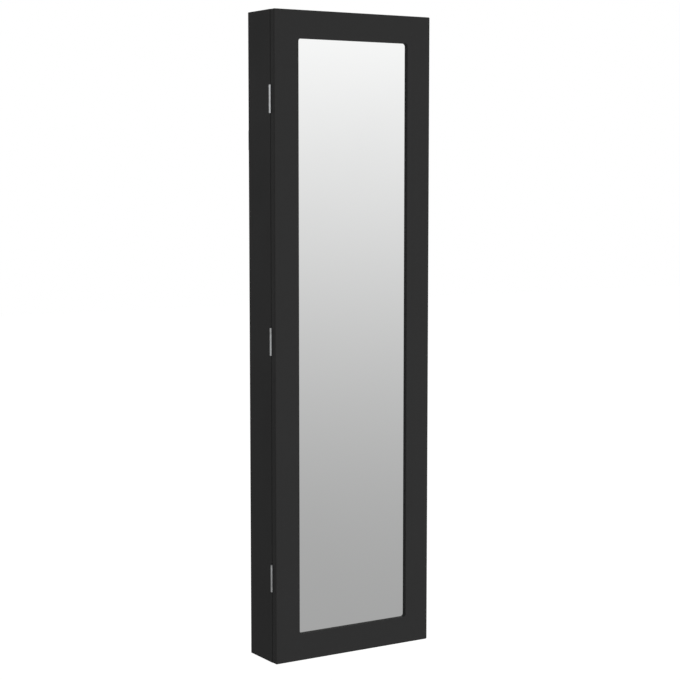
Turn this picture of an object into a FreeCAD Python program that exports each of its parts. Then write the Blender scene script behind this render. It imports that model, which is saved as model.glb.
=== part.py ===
"""Wall-hung jewellery cabinet with a full-length mirror door, in millimetres.

x runs to the right, y towards the wall and z up, and the wall is the plane y = 0.
Heights are counted from the underside while the pieces are made. At the end every
piece is lowered by hang_height, so that the origin lies on the wall, midway between
the two keyhole mouths that the cabinet hangs by.
"""

import FreeCAD, Part

import os

Vector = FreeCAD.Vector

LEFT = -1
RIGHT = 1
ACROSS = Vector(1, 0, 0)
TO_WALL = Vector(0, 1, 0)
TO_ROOM = Vector(0, -1, 0)
UP = Vector(0, 0, 1)

# How near two places, or two directions of length one, are that count as the same
TOUCH = 0.01

# Outside of the closed cabinet, from the rear of the case to the front of the door
cabinet_width = 300.0
cabinet_height = 1060.0
cabinet_depth = 85.0

# Boards of the case
board_thickness = 12.0
edge_easing = 0.8
back_thickness = 3.0
back_recess = 8.0
groove_depth = 4.0
groove_fit = 0.1
groove_end_gap = 0.5
lining_thickness = 1.0
lining_gap = 0.2

# Door and its mirror
door_thickness = 12.0
door_easing = 2.0
door_gap = 1.0
border_width = 45.0
opening_radius = 5.0
opening_easing = 0.5
mirror_recess = 4.5
glass_thickness = 3.0
glass_fit = 0.5
rebate_lap = 8.0
rebate_radius = 6.0

# Hanger plates and the pads that keep the foot of the case off the wall
hang_drop = 210.0
plate_width = 30.0
plate_height = 35.0
plate_thickness = 1.5
plate_radius = 3.0
plate_inset = 0.5
plate_rise = 4.5
keyhole_offset = 21.5
keyhole_radius = 4.5
keyhole_slot_radius = 2.2
keyhole_slot_rise = 9.0
plate_screw_pitch = 22.0
pad_radius = 4.5
pad_height = 60.0

# Butt hinges
hinge_length = 45.0
hinge_count = 3
hinge_end_distance = 141.5
knuckle_count = 5
knuckle_gap = 0.2
barrel_radius = 2.0
barrel_clearance = 0.3
pin_radius = 1.0
pin_fit = 0.05
pin_proud = 0.5
leaf_thickness = 1.0
leaf_reach = 11.0
leaf_spacing = 0.6
leaf_clearance = 0.4
mortise_fit = 0.1
hinge_screw_count = 3
hinge_screw_pitch = 15.0

# Dowels
dowel_radius = 3.0
dowel_in_side = 8.0
dowel_in_panel = 16.0
dowel_front_inset = 18.0
dowel_back_inset = 6.0
dowel_end_gap = 0.3
dowel_chamfer = 0.6
small_dowel_radius = 2.5
small_dowel_length = 16.0

# Shelves and the rods that guard them
shelf_pitch = 131.0
shelf_count = 3
shelf_thickness = 9.0
fitting_space = 23.0
shelf_dowel_pitch = 20.0
guard_radius = 2.0
guard_rise = 25.0
guard_inset = 4.0
guard_seat = 4.0
rod_fit = 0.05

# Necklace rail and its hooks
rail_drop = 18.0
rail_height = 30.0
rail_thickness = 12.0
necklace_hook_count = 8
necklace_hook_margin = 33.0
necklace_hook_reach = 16.0
hook_wire_radius = 1.25
hook_bend_radius = 4.5
hook_tip_rise = 4.5
hook_ball_radius = 2.0
hook_seat = 6.0
hook_fit = 0.05
collar_radius = 3.0
collar_thickness = 1.2

# Ring tray
ring_tray_clearance = 115.0
ring_tray_depth = 26.0
ring_tray_wall = 5.0
ring_tray_back = 3.0
roll_count = 6
roll_radius = 6.3
roll_gap = 0.4
tray_screw_inset = 4.5
tray_screw_pitch = 50.0

# Magnetic catch and its strike plate
catch_width = 13.0
catch_depth = 16.0
catch_length = 44.0
catch_radius = 1.5
catch_air = 0.3
magnet_width = 5.0
magnet_depth = 11.0
magnet_length = 20.0
pole_thickness = 1.0
pole_proud = 0.4
pocket_fit = 0.1
catch_screw_pitch = 32.0
strike_width = 10.0
strike_length = 30.0
strike_thickness = 1.2
strike_radius = 2.5
buffer_radius = 4.0
buffer_air = 0.3
buffer_end_distance = 60.0

# Clips that hold the mirror and its backing board in the door
clip_length = 14.0
clip_width = 8.0
clip_thickness = 1.0
clip_radius = 2.5
clip_rows = 4
clip_end_distance = 112.0

# Earring rails and the bracelet strip, on posts behind the door
earring_rail_count = 6
earring_rail_pitch = 50.0
earring_rail_drop = 75.0
earring_rail_width = 18.0
earring_rail_thickness = 2.0
earring_rail_radius = 3.0
earring_count = 23
earring_margin = 21.0
earring_hole_radius = 1.0
earring_slot_length = 9.0
post_end_margin = 6.0
post_radius = 4.0
earring_post_length = 12.0
bracelet_strip_drop = 63.0
bracelet_strip_width = 20.0
bracelet_strip_thickness = 4.0
bracelet_post_length = 5.0
bracelet_hook_count = 6
bracelet_hook_margin = 35.5
bracelet_hook_reach = 12.0
bracelet_hook_seat = 3.0

# Fabric pocket on the inside of the door
pocket_margin = 7.0
pocket_height = 150.0
pocket_depth = 13.0
pocket_wall = 1.5
pocket_corner = 8.0
pocket_bottom = 110.0

# Screws
hinge_screw_shank = 1.2
hinge_screw_head = 2.2
case_leaf_screw_length = 16.0
door_leaf_screw_length = 8.5
plate_screw_shank = 1.6
plate_screw_head = 2.9
plate_screw_length = 22.0
pan_screw_shank = 1.4
pan_screw_head = 2.7
pan_head_height = 1.5
pan_head_round = 0.75
pan_screw_grip = 7.0
screw_fit = 0.05
screw_tip_length = 2.0
screw_tip_radius = 0.3
recess_share = 0.62
recess_width = 0.6
recess_depth = 0.7

# Planes of the case and the door
case_depth = cabinet_depth - door_thickness - door_gap
case_rear = -plate_thickness
case_front = case_rear - case_depth
door_back = case_front - door_gap
door_front = door_back - door_thickness
outer_half = cabinet_width / 2
inner_half = outer_half - board_thickness
inner_top = cabinet_height - board_thickness
middle_height = cabinet_height / 2
back_rear = case_rear - back_recess
back_front = back_rear - back_thickness
lining_front = back_front - lining_thickness
side_middle = outer_half - board_thickness / 2
hang_height = cabinet_height - hang_drop

# Mirror opening, rebate and what fills it
opening_width = cabinet_width - 2 * border_width
opening_height = cabinet_height - 2 * border_width
rebate_width = opening_width + 2 * rebate_lap
rebate_height = opening_height + 2 * rebate_lap
glass_front = door_front + mirror_recess
glass_back = glass_front + glass_thickness
backing_back = door_back - lining_thickness

# Hinges
hinge_pitch = (cabinet_height - 2 * hinge_end_distance) / (hinge_count - 1)
hinge_x = -outer_half - pin_proud
hinge_y = case_front - door_gap / 2
strip_start = hinge_x + barrel_radius + leaf_clearance
strip_end = hinge_x + leaf_reach
leaf_screw_x = (strip_start + strip_end) / 2
leaf_inner = leaf_spacing / 2
leaf_outer = leaf_inner + leaf_thickness

# Fittings in the case
shelf_front = door_back + fitting_space
shelf_middle_y = (lining_front + shelf_front) / 2
guard_y = shelf_front + guard_inset
rail_top = inner_top - rail_drop
rail_middle = rail_top - rail_height / 2
rail_front = lining_front - rail_thickness
necklace_hook_pitch = 2 * (inner_half - necklace_hook_margin) / (necklace_hook_count - 1)
roll_pitch = 2 * roll_radius + roll_gap
ring_tray_inside = roll_count * roll_pitch + roll_gap
ring_tray_height = ring_tray_inside + 2 * ring_tray_wall
ring_tray_bottom = board_thickness + shelf_count * shelf_pitch + ring_tray_clearance
ring_tray_middle = ring_tray_bottom + ring_tray_height / 2
ring_tray_front = lining_front - ring_tray_depth
keyhole_x = outer_half - plate_inset - keyhole_offset
plate_middle = hang_height + plate_rise
catch_height = middle_height
strike_front = door_back + strike_thickness
pole_front = strike_front + catch_air
catch_front = pole_front + pole_proud
catch_x = inner_half - catch_width / 2

# Fittings on the door
clip_pitch = (rebate_height - 2 * clip_end_distance) / (clip_rows - 1)
post_x = (inner_half + rebate_width / 2) / 2
strip_half = post_x + post_end_margin
earring_rail_top = cabinet_height - earring_rail_drop
earring_pitch = 2 * (post_x - earring_margin) / (earring_count - 1)
lowest_rail = earring_rail_top - (earring_rail_count - 1) * earring_rail_pitch
bracelet_strip_middle = lowest_rail - bracelet_strip_drop
bracelet_hook_pitch = 2 * (post_x - bracelet_hook_margin) / (bracelet_hook_count - 1)
pocket_width = opening_width - 2 * pocket_margin


def block(x0, x1, y0, y1, z0, z1):
    """A box between two corners."""
    return Part.makeBox(x1 - x0, y1 - y0, z1 - z0, Vector(x0, y0, z0))


def spread(count, pitch):
    """Offsets of evenly spaced places about their middle."""
    return [(i - (count - 1) / 2) * pitch for i in range(count)]


def placed(shape, position, direction):
    """A shape made along +z, turned to point along direction at position."""
    shape = shape.copy()
    shape.Placement = FreeCAD.Placement(position, FreeCAD.Rotation(UP, direction))
    return shape


def eased(shape, low, high, radius):
    """Rounds those edges of a board that lie along the edges of the box low to high."""
    chosen = []
    for edge in shape.Edges:
        middle = edge.CenterOfMass
        faces = [abs(middle[i] - plane[i]) < TOUCH for i in range(3) for plane in (low, high)]
        if sum(faces) >= 2:
            chosen.append(edge)
    return shape.makeFillet(radius, chosen)


def runs_along(edge, direction):
    """Whether an edge runs along a direction."""
    return edge.tangentAt(edge.FirstParameter).cross(direction).Length < TOUCH


def eased_front(bar, y_front):
    """Rounds the two long front edges of a board between the sides of the case."""
    at_front = [edge for edge in bar.Edges if abs(edge.CenterOfMass.y - y_front) < TOUCH]
    long_edges = [edge for edge in at_front if runs_along(edge, ACROSS)]
    return bar.makeFillet(edge_easing, long_edges)


def rounded_slab(width, height, radius, y0, y1, x_mid, z_mid):
    """An upright slab with its four corners rounded, from y0 to y1."""
    slab = block(
        x_mid - width / 2, x_mid + width / 2, y0, y1, z_mid - height / 2, z_mid + height / 2
    )
    corners = [edge for edge in slab.Edges if runs_along(edge, TO_WALL)]
    return slab.makeFillet(radius, corners)


def upright_slot(radius, length, y0, y1, x, z):
    """The space of a slot with round ends, from y0 to y1."""
    reach = length / 2 - radius
    low_end = Part.makeCylinder(radius, y1 - y0, Vector(x, y0, z - reach), TO_WALL)
    high_end = Part.makeCylinder(radius, y1 - y0, Vector(x, y0, z + reach), TO_WALL)
    middle = block(x - radius, x + radius, y0, y1, z - reach, z + reach)
    return middle.fuse([low_end, high_end])


# Screws and dowels


def cross_recess(head_radius):
    """The cross-shaped driver recess of a screw whose head lies at z = 0."""
    reach = head_radius * recess_share
    half = recess_width / 2
    one = block(-reach, reach, -half, half, 0, recess_depth)
    other = block(-half, half, -reach, reach, 0, recess_depth)
    return one.fuse(other)


def screw_shank(radius, start, length):
    """A plain shank with a short tapered tip, along +z."""
    plain = Part.makeCylinder(radius, length - screw_tip_length, Vector(0, 0, start))
    tip_start = Vector(0, 0, start + length - screw_tip_length)
    tip = Part.makeCone(radius, screw_tip_radius, screw_tip_length, tip_start)
    return plain.fuse(tip)


def flat_screw(head_radius, shank_radius, length):
    """A countersunk screw along +z, with the face of its head at z = 0."""
    head_height = head_radius - shank_radius
    head = Part.makeCone(head_radius, shank_radius, head_height)
    shank = screw_shank(shank_radius, head_height, length - head_height)
    return head.fuse(shank).cut(cross_recess(head_radius)).removeSplitter()


def pan_screw(grip):
    """A pan-head screw along +z, with the underside of its head at z = 0."""
    head = Part.makeCylinder(pan_screw_head, pan_head_height, Vector(0, 0, -pan_head_height))
    circles = [edge for edge in head.Edges if isinstance(edge.Curve, Part.Circle)]
    rim = [edge for edge in circles if abs(edge.CenterOfMass.z + pan_head_height) < TOUCH]
    head = head.makeFillet(pan_head_round, rim)
    recess = cross_recess(pan_screw_head).translated(Vector(0, 0, -pan_head_height))
    return head.cut(recess).fuse(screw_shank(pan_screw_shank, 0, grip)).removeSplitter()


def pilot(position, direction, radius, depth):
    """The hole that a screw's shank goes into."""
    return Part.makeCylinder(radius + screw_fit, depth + screw_fit, position, direction)


def sunk_hole(position, direction, head_radius, shank_radius, depth):
    """The countersunk hole of a flat screw, right through a thin plate."""
    head_height = head_radius - shank_radius
    mouth = head_radius + screw_fit
    cone = Part.makeCone(mouth, shank_radius + screw_fit, head_height, position, direction)
    return cone.fuse(pilot(position, direction, shank_radius, depth))


def dowel(radius, start, length):
    """A dowel along x from start, with its ends chamfered."""
    pin = Part.makeCylinder(radius, length, start, ACROSS)
    ends = [e for e in pin.Edges if isinstance(e.Curve, Part.Circle)]
    return pin.makeChamfer(dowel_chamfer, ends)


def dowel_hole(radius, start, length):
    """The hole for a dowel, a little longer than the dowel at each end."""
    first = start - ACROSS * dowel_end_gap
    return Part.makeCylinder(radius, length + 2 * dowel_end_gap, first, ACROSS)


def corner_dowel_starts():
    """Left ends of the dowels that join the top and bottom panels to the sides."""
    left_start = -inner_half - dowel_in_side
    right_start = inner_half - dowel_in_panel
    starts = []
    for z in (board_thickness / 2, cabinet_height - board_thickness / 2):
        for y in (case_front + dowel_front_inset, lining_front - dowel_back_inset):
            starts.append(Vector(left_start, y, z))
            starts.append(Vector(right_start, y, z))
    return starts


def small_dowel_starts(y_places, z):
    """Left ends of small dowels at both ends of a board between the sides."""
    starts = []
    for y in y_places:
        starts.append(Vector(-inner_half - small_dowel_length / 2, y, z))
        starts.append(Vector(inner_half - small_dowel_length / 2, y, z))
    return starts


def shelf_top(level):
    """Height of the top of a shelf. Level 0 is the floor of the case."""
    return board_thickness + level * shelf_pitch


def shelf_dowel_starts(level):
    """Left ends of the dowels that carry one shelf."""
    y_places = [shelf_middle_y + offset for offset in spread(2, shelf_dowel_pitch)]
    return small_dowel_starts(y_places, shelf_top(level) - shelf_thickness / 2)


def rail_dowel_starts():
    """Left ends of the dowels that carry the necklace rail."""
    return small_dowel_starts([lining_front - rail_thickness / 2], rail_middle)


def corner_dowels():
    """The eight dowels of the case corners."""
    length = dowel_in_side + dowel_in_panel
    return [dowel(dowel_radius, start, length) for start in corner_dowel_starts()]


def shelf_dowels():
    """The dowels under the three shelves."""
    starts = [s for level in range(1, shelf_count + 1) for s in shelf_dowel_starts(level)]
    return [dowel(small_dowel_radius, start, small_dowel_length) for start in starts]


def rail_dowels():
    """The two dowels of the necklace rail."""
    return [dowel(small_dowel_radius, s, small_dowel_length) for s in rail_dowel_starts()]


def small_dowel_holes(starts):
    """Holes for a set of small dowels."""
    return [dowel_hole(small_dowel_radius, start, small_dowel_length) for start in starts]


# Case


def back_groove():
    """The space that the grooves of the four case boards leave for the back panel."""
    half = inner_half + groove_depth
    low = board_thickness - groove_depth
    y0 = back_front - groove_fit
    y1 = back_rear + groove_fit
    return block(-half, half, y0, y1, low, cabinet_height - low)


def corner_dowel_holes():
    """Holes for the dowels of the case corners."""
    length = dowel_in_side + dowel_in_panel
    return [dowel_hole(dowel_radius, start, length) for start in corner_dowel_starts()]


def eased_case_board(board):
    """Rounds the edges of a board along the outer edges of the case."""
    low = Vector(-outer_half, case_front, 0)
    high = Vector(outer_half, case_rear, cabinet_height)
    return eased(board, low, high, edge_easing)


def guard_places():
    """Left ends of the guard rods, over the floor of the case and over each shelf."""
    start = -inner_half - guard_seat
    levels = range(shelf_count + 1)
    return [Vector(start, guard_y, shelf_top(level) + guard_rise) for level in levels]


def guard_rods():
    """The rods that keep things on the shelves."""
    length = 2 * (inner_half + guard_seat)
    return [Part.makeCylinder(guard_radius, length, start, ACROSS) for start in guard_places()]


def guard_holes():
    """Blind holes in the sides for the guard rods."""
    length = 2 * (inner_half + guard_seat + dowel_end_gap)
    holes = []
    for start in guard_places():
        first = start - ACROSS * dowel_end_gap
        holes.append(Part.makeCylinder(guard_radius + rod_fit, length, first, ACROSS))
    return holes


def plate_screw_places(side):
    """Centres of the heads of one hanger plate's screws."""
    offsets = spread(2, plate_screw_pitch)
    return [Vector(side * side_middle, 0, plate_middle + offset) for offset in offsets]


def tray_screw_places(side):
    """Where the screws of the ring tray go into one side, at the inside of the tray's wall."""
    x = side * (inner_half - ring_tray_wall)
    y = ring_tray_front + tray_screw_inset
    return [Vector(x, y, ring_tray_middle + offset) for offset in spread(2, tray_screw_pitch)]


def catch_screw_places():
    """Centres of the heads of the catch's screws."""
    x = inner_half - catch_width
    y = catch_front + catch_depth / 2
    return [Vector(x, y, catch_height + offset) for offset in spread(2, catch_screw_pitch)]


def side_panel(side):
    """One side of the case, with every groove, mortise and hole that it needs."""
    outer = side * outer_half
    inner = side * inner_half
    x0 = min(outer, inner)
    x1 = max(outer, inner)
    panel = eased_case_board(block(x0, x1, case_front, case_rear, 0, cabinet_height))
    cuts = [back_groove()] + corner_dowel_holes() + guard_holes()
    for level in range(1, shelf_count + 1):
        cuts += small_dowel_holes(shelf_dowel_starts(level))
    cuts += small_dowel_holes(rail_dowel_starts())
    for place in plate_screw_places(side):
        cuts.append(pilot(place, TO_ROOM, plate_screw_shank, plate_screw_length))
    for place in tray_screw_places(side):
        grip = ring_tray_wall + pan_screw_grip
        cuts.append(pilot(place, ACROSS * side, pan_screw_shank, grip))
    if side == LEFT:
        cuts += hinge_cuts(RIGHT)
    else:
        grip = catch_width + pan_screw_grip
        for place in catch_screw_places():
            cuts.append(pilot(place, ACROSS, pan_screw_shank, grip))
    return panel.cut(cuts)


def end_panel(z0):
    """The top or the bottom of the case, between the sides."""
    z1 = z0 + board_thickness
    panel = block(-inner_half, inner_half, case_front, case_rear, z0, z1)
    return eased_case_board(panel).cut([back_groove()] + corner_dowel_holes())


def back_panel():
    """The back panel, in the grooves of the four boards."""
    half = inner_half + groove_depth - groove_end_gap
    low = board_thickness - groove_depth + groove_end_gap
    return block(-half, half, back_front, back_rear, low, cabinet_height - low)


def back_lining():
    """The velvet-covered card in front of the back panel."""
    half = inner_half - lining_gap
    low = board_thickness + lining_gap
    return block(-half, half, lining_front, back_front, low, cabinet_height - low)


def shelf(level):
    """One shelf, with its front edges rounded and the holes for its dowels."""
    top = shelf_top(level)
    bottom = top - shelf_thickness
    board = block(-inner_half, inner_half, shelf_front, lining_front, bottom, top)
    return eased_front(board, shelf_front).cut(small_dowel_holes(shelf_dowel_starts(level)))


# Necklace rail and hooks


def hook(reach, seat):
    """A wire hook with a collar and a ball end, out of a wall at the origin along -y."""
    run = reach - hook_bend_radius
    stem = Part.makeCylinder(hook_wire_radius, run + seat, Vector(0, seat, 0), TO_ROOM)
    bend_start = Vector(0, -run, 0)
    ring = Part.Circle(bend_start, TO_ROOM, hook_wire_radius)
    section = Part.Face(Part.Wire(ring.toShape()))
    bend = section.revolve(bend_start + UP * hook_bend_radius, ACROSS * LEFT, 90)
    foot = Vector(0, -reach, hook_bend_radius)
    upright = Part.makeCylinder(hook_wire_radius, hook_tip_rise, foot, UP)
    ball = Part.makeSphere(hook_ball_radius, foot + UP * hook_tip_rise)
    collar = Part.makeCylinder(collar_radius, collar_thickness, Vector(0, 0, 0), TO_ROOM)
    return stem.fuse([bend, upright, ball, collar]).removeSplitter()


def necklace_hook_places():
    """Where the necklace hooks leave the front of their rail."""
    offsets = spread(necklace_hook_count, necklace_hook_pitch)
    return [Vector(x, rail_front, rail_middle) for x in offsets]


def hook_holes(places, seat, direction):
    """Blind holes for the stems of a row of hooks."""
    radius = hook_wire_radius + hook_fit
    return [Part.makeCylinder(radius, seat + hook_fit, place, direction) for place in places]


def necklace_rail():
    """The bar across the top of the case that carries the necklace hooks."""
    z0 = rail_top - rail_height
    bar = block(-inner_half, inner_half, rail_front, lining_front, z0, rail_top)
    cuts = small_dowel_holes(rail_dowel_starts())
    cuts += hook_holes(necklace_hook_places(), hook_seat, TO_WALL)
    return eased_front(bar, rail_front).cut(cuts)


def necklace_hooks():
    """The hooks of the necklace rail."""
    one = hook(necklace_hook_reach, hook_seat)
    return [one.translated(place) for place in necklace_hook_places()]


# Ring tray


def ring_tray():
    """The shallow open box that holds the ring rolls."""
    z1 = ring_tray_bottom + ring_tray_height
    box = block(-inner_half, inner_half, ring_tray_front, lining_front, ring_tray_bottom, z1)
    half = inner_half - ring_tray_wall
    z0 = ring_tray_bottom + ring_tray_wall
    floor = lining_front - ring_tray_back
    box = box.cut(block(-half, half, ring_tray_front, floor, z0, z1 - ring_tray_wall))
    for side in (LEFT, RIGHT):
        for place in tray_screw_places(side):
            box = box.cut(pilot(place, ACROSS * side, pan_screw_shank, ring_tray_wall))
    return box


def tray_screws():
    """The screws that hold the ring tray to the sides."""
    one = pan_screw(ring_tray_wall + pan_screw_grip)
    sides = (LEFT, RIGHT)
    return [placed(one, p, ACROSS * side) for side in sides for p in tray_screw_places(side)]


def ring_rolls():
    """The foam rolls that rings are pushed between."""
    length = 2 * (inner_half - ring_tray_wall - roll_gap)
    y = lining_front - ring_tray_back - roll_gap - roll_radius
    first = ring_tray_bottom + ring_tray_wall + roll_gap + roll_radius
    rolls = []
    for i in range(roll_count):
        start = Vector(-length / 2, y, first + i * roll_pitch)
        rolls.append(Part.makeCylinder(roll_radius, length, start, ACROSS))
    return rolls


# Hanging hardware


def keyhole(x):
    """The opening that a wall screw's head goes through, with the slot above it."""
    mouth_centre = Vector(x, -plate_thickness, hang_height)
    slot_top = mouth_centre + UP * keyhole_slot_rise
    mouth = Part.makeCylinder(keyhole_radius, plate_thickness, mouth_centre, TO_WALL)
    top = Part.makeCylinder(keyhole_slot_radius, plate_thickness, slot_top, TO_WALL)
    x0 = x - keyhole_slot_radius
    x1 = x + keyhole_slot_radius
    neck = block(x0, x1, -plate_thickness, 0, hang_height, slot_top.z)
    return mouth.fuse([top, neck])


def hanger_plate(side):
    """A steel plate on the rear edge of a side, with its keyhole behind the case."""
    x_mid = side * (outer_half - plate_inset - plate_width / 2)
    y0 = -plate_thickness
    plate = rounded_slab(plate_width, plate_height, plate_radius, y0, 0, x_mid, plate_middle)
    cuts = [keyhole(side * keyhole_x)]
    for place in plate_screw_places(side):
        head, shank = plate_screw_head, plate_screw_shank
        cuts.append(sunk_hole(place, TO_ROOM, head, shank, plate_thickness))
    return plate.cut(cuts)


def hanger_screws():
    """The countersunk screws of both hanger plates."""
    one = flat_screw(plate_screw_head, plate_screw_shank, plate_screw_length)
    places = plate_screw_places(LEFT) + plate_screw_places(RIGHT)
    return [placed(one, place, TO_ROOM) for place in places]


def wall_pads():
    """Two pads on the rear edges that hold the foot of the case parallel to the wall."""
    pads = []
    for side in (LEFT, RIGHT):
        centre = Vector(side * side_middle, case_rear, pad_height)
        pads.append(Part.makeCylinder(pad_radius, plate_thickness, centre, TO_WALL))
    return pads


# Hinges. A leaf is made on the wall side of the hinge axis, and mirrored for the door.


def hinge_heights():
    """Middle heights of the hinges, from the lowest up."""
    return [middle_height + offset for offset in spread(hinge_count, hinge_pitch)]


def hinge_place(z):
    """The middle of a hinge's barrel."""
    return Vector(hinge_x, hinge_y, z)


def barrel(radius, z, length):
    """A cylinder on the hinge axis, centred at a height."""
    return Part.makeCylinder(radius, length, hinge_place(z - length / 2))


def leaf_screw_places(z, side):
    """Centres of the heads of one leaf's screws. Side is RIGHT for the case, LEFT for the door."""
    y = hinge_y + side * leaf_inner
    offsets = spread(hinge_screw_count, hinge_screw_pitch)
    return [Vector(leaf_screw_x, y, z + offset) for offset in offsets]


def leaf_block(x0, x1, z0, z1, side):
    """A box in the thickness of a leaf."""
    near = hinge_y + side * leaf_inner
    far = hinge_y + side * leaf_outer
    return block(x0, x1, min(near, far), max(near, far), z0, z1)


def hinge_leaf(z, side, first_knuckle):
    """A leaf with every second knuckle, its bore and its countersunk holes."""
    z0 = z - hinge_length / 2
    pitch = hinge_length / knuckle_count
    leaf = leaf_block(strip_start, strip_end, z0, z0 + hinge_length, side)
    for i in range(first_knuckle, knuckle_count, 2):
        middle = z0 + (i + 0.5) * pitch
        half = (pitch - knuckle_gap) / 2
        knuckle = barrel(barrel_radius, middle, 2 * half)
        tab = leaf_block(hinge_x, strip_start, middle - half, middle + half, side)
        leaf = leaf.fuse([knuckle, tab])
    cuts = [barrel(pin_radius + pin_fit, z, 2 * hinge_length)]
    into = TO_WALL * side
    for place in leaf_screw_places(z, side):
        cuts.append(sunk_hole(place, into, hinge_screw_head, hinge_screw_shank, leaf_thickness))
    return leaf.cut(cuts).removeSplitter()


def hinge_cuts(side):
    """Mortises, barrel reliefs and pilot holes for the hinges, in the case or the door."""
    length = case_leaf_screw_length if side == RIGHT else door_leaf_screw_length
    half = hinge_length / 2 + mortise_fit
    outside = hinge_x - barrel_radius
    cuts = []
    for z in hinge_heights():
        near = hinge_y
        far = hinge_y + side * leaf_outer
        y0, y1 = min(near, far), max(near, far)
        cuts.append(block(outside, strip_end + mortise_fit, y0, y1, z - half, z + half))
        cuts.append(barrel(barrel_radius + barrel_clearance, z, 2 * half))
        for place in leaf_screw_places(z, side):
            cuts.append(pilot(place, TO_WALL * side, hinge_screw_shank, length))
    return cuts


def hinge_screws(side):
    """The countersunk screws of all the case leaves or all the door leaves."""
    length = case_leaf_screw_length if side == RIGHT else door_leaf_screw_length
    one = flat_screw(hinge_screw_head, hinge_screw_shank, length)
    places = [p for z in hinge_heights() for p in leaf_screw_places(z, side)]
    return [placed(one, place, TO_WALL * side) for place in places]


# Catch


def catch_cavity(fit):
    """The space of the magnet and its pole plates in the catch's housing."""
    half_x = magnet_width / 2 + pole_thickness + fit
    half_z = magnet_length / 2 + fit
    y1 = catch_front + magnet_depth + fit
    z0 = catch_height - half_z
    return block(catch_x - half_x, catch_x + half_x, catch_front, y1, z0, catch_height + half_z)


def catch_housing():
    """The plastic body of the magnetic catch, on the right side of the case."""
    z0 = catch_height - catch_length / 2
    y1 = catch_front + catch_depth
    x0 = inner_half - catch_width
    body = block(x0, inner_half, catch_front, y1, z0, z0 + catch_length)
    inner_edges = [edge for edge in body.Edges if abs(edge.CenterOfMass.x - x0) < TOUCH]
    body = body.makeFillet(catch_radius, inner_edges)
    cuts = [catch_cavity(pocket_fit)]
    for place in catch_screw_places():
        cuts.append(pilot(place, ACROSS, pan_screw_shank, catch_width))
    return body.cut(cuts)


def catch_magnet():
    """The ferrite magnet between the pole plates."""
    half = magnet_width / 2
    z0 = catch_height - magnet_length / 2
    y1 = catch_front + magnet_depth
    return block(catch_x - half, catch_x + half, catch_front, y1, z0, z0 + magnet_length)


def catch_poles():
    """The two steel plates beside the magnet, which the strike plate meets."""
    poles = []
    z0 = catch_height - magnet_length / 2
    y1 = catch_front + magnet_depth
    for side in (LEFT, RIGHT):
        near = catch_x + side * magnet_width / 2
        far = near + side * pole_thickness
        x0, x1 = min(near, far), max(near, far)
        poles.append(block(x0, x1, pole_front, y1, z0, z0 + magnet_length))
    return poles


def catch_screws():
    """The screws of the catch."""
    one = pan_screw(catch_width + pan_screw_grip)
    return [placed(one, place, ACROSS) for place in catch_screw_places()]


def strike_place():
    """Centre of the head of the strike plate's screw."""
    return Vector(catch_x, strike_front, catch_height)


def strike_plate():
    """The steel plate on the door that the magnet holds."""
    plate = rounded_slab(
        strike_width, strike_length, strike_radius, door_back, strike_front, catch_x, catch_height
    )
    head, shank = hinge_screw_head, hinge_screw_shank
    return plate.cut(sunk_hole(strike_place(), TO_ROOM, head, shank, strike_thickness))


def strike_screw():
    """The screw of the strike plate."""
    one = flat_screw(hinge_screw_head, hinge_screw_shank, door_leaf_screw_length)
    return placed(one, strike_place(), TO_ROOM)


def door_buffers():
    """Two thin felt dots on the front edge of the right side."""
    thickness = door_gap - buffer_air
    dots = []
    for z in (buffer_end_distance, cabinet_height - buffer_end_distance):
        centre = Vector(side_middle, case_front, z)
        dots.append(Part.makeCylinder(buffer_radius, thickness, centre, TO_ROOM))
    return dots


# Door


def clip_places():
    """Middle of each mirror clip on the edge of the rebate, and the way out of the rebate."""
    places = []
    for side in (LEFT, RIGHT):
        for offset in spread(clip_rows, clip_pitch):
            edge = Vector(side * rebate_width / 2, door_back, middle_height + offset)
            places.append((edge, ACROSS * side))
        end = Vector(0, door_back, middle_height + side * rebate_height / 2)
        places.append((end, UP * side))
    return places


def clip_screw_place(edge, out):
    """Where a clip's screw stands on the clip."""
    inset = clip_width / 2
    return edge + out * (clip_length / 2 - inset) + TO_WALL * clip_thickness


def mirror_clips():
    """The flat clips that overlap the backing board."""
    clips = []
    for edge, out in clip_places():
        across = clip_length if out.z == 0 else clip_width
        up = clip_width if out.z == 0 else clip_length
        y1 = door_back + clip_thickness
        clip = rounded_slab(across, up, clip_radius, door_back, y1, edge.x, edge.z)
        place = clip_screw_place(edge, out)
        clips.append(clip.cut(pilot(place, TO_ROOM, pan_screw_shank, clip_thickness)))
    return clips


def clip_screws():
    """The screws of the mirror clips."""
    one = pan_screw(clip_thickness + pan_screw_grip)
    return [placed(one, clip_screw_place(edge, out), TO_ROOM) for edge, out in clip_places()]


def earring_rail_height(row):
    """Middle height of an earring rail. Row 0 is the highest."""
    return earring_rail_top - row * earring_rail_pitch


def post_places(z, length):
    """Outer ends of the two posts of a rail or strip at a height."""
    return [Vector(side * post_x, door_back + length, z) for side in (LEFT, RIGHT)]


def post_pilots():
    """Pilot holes in the door for the screws of every post."""
    heights = [earring_rail_height(row) for row in range(earring_rail_count)]
    places = [p for z in heights + [bracelet_strip_middle] for p in post_places(z, 0)]
    return [pilot(place, TO_ROOM, pan_screw_shank, pan_screw_grip) for place in places]


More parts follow.
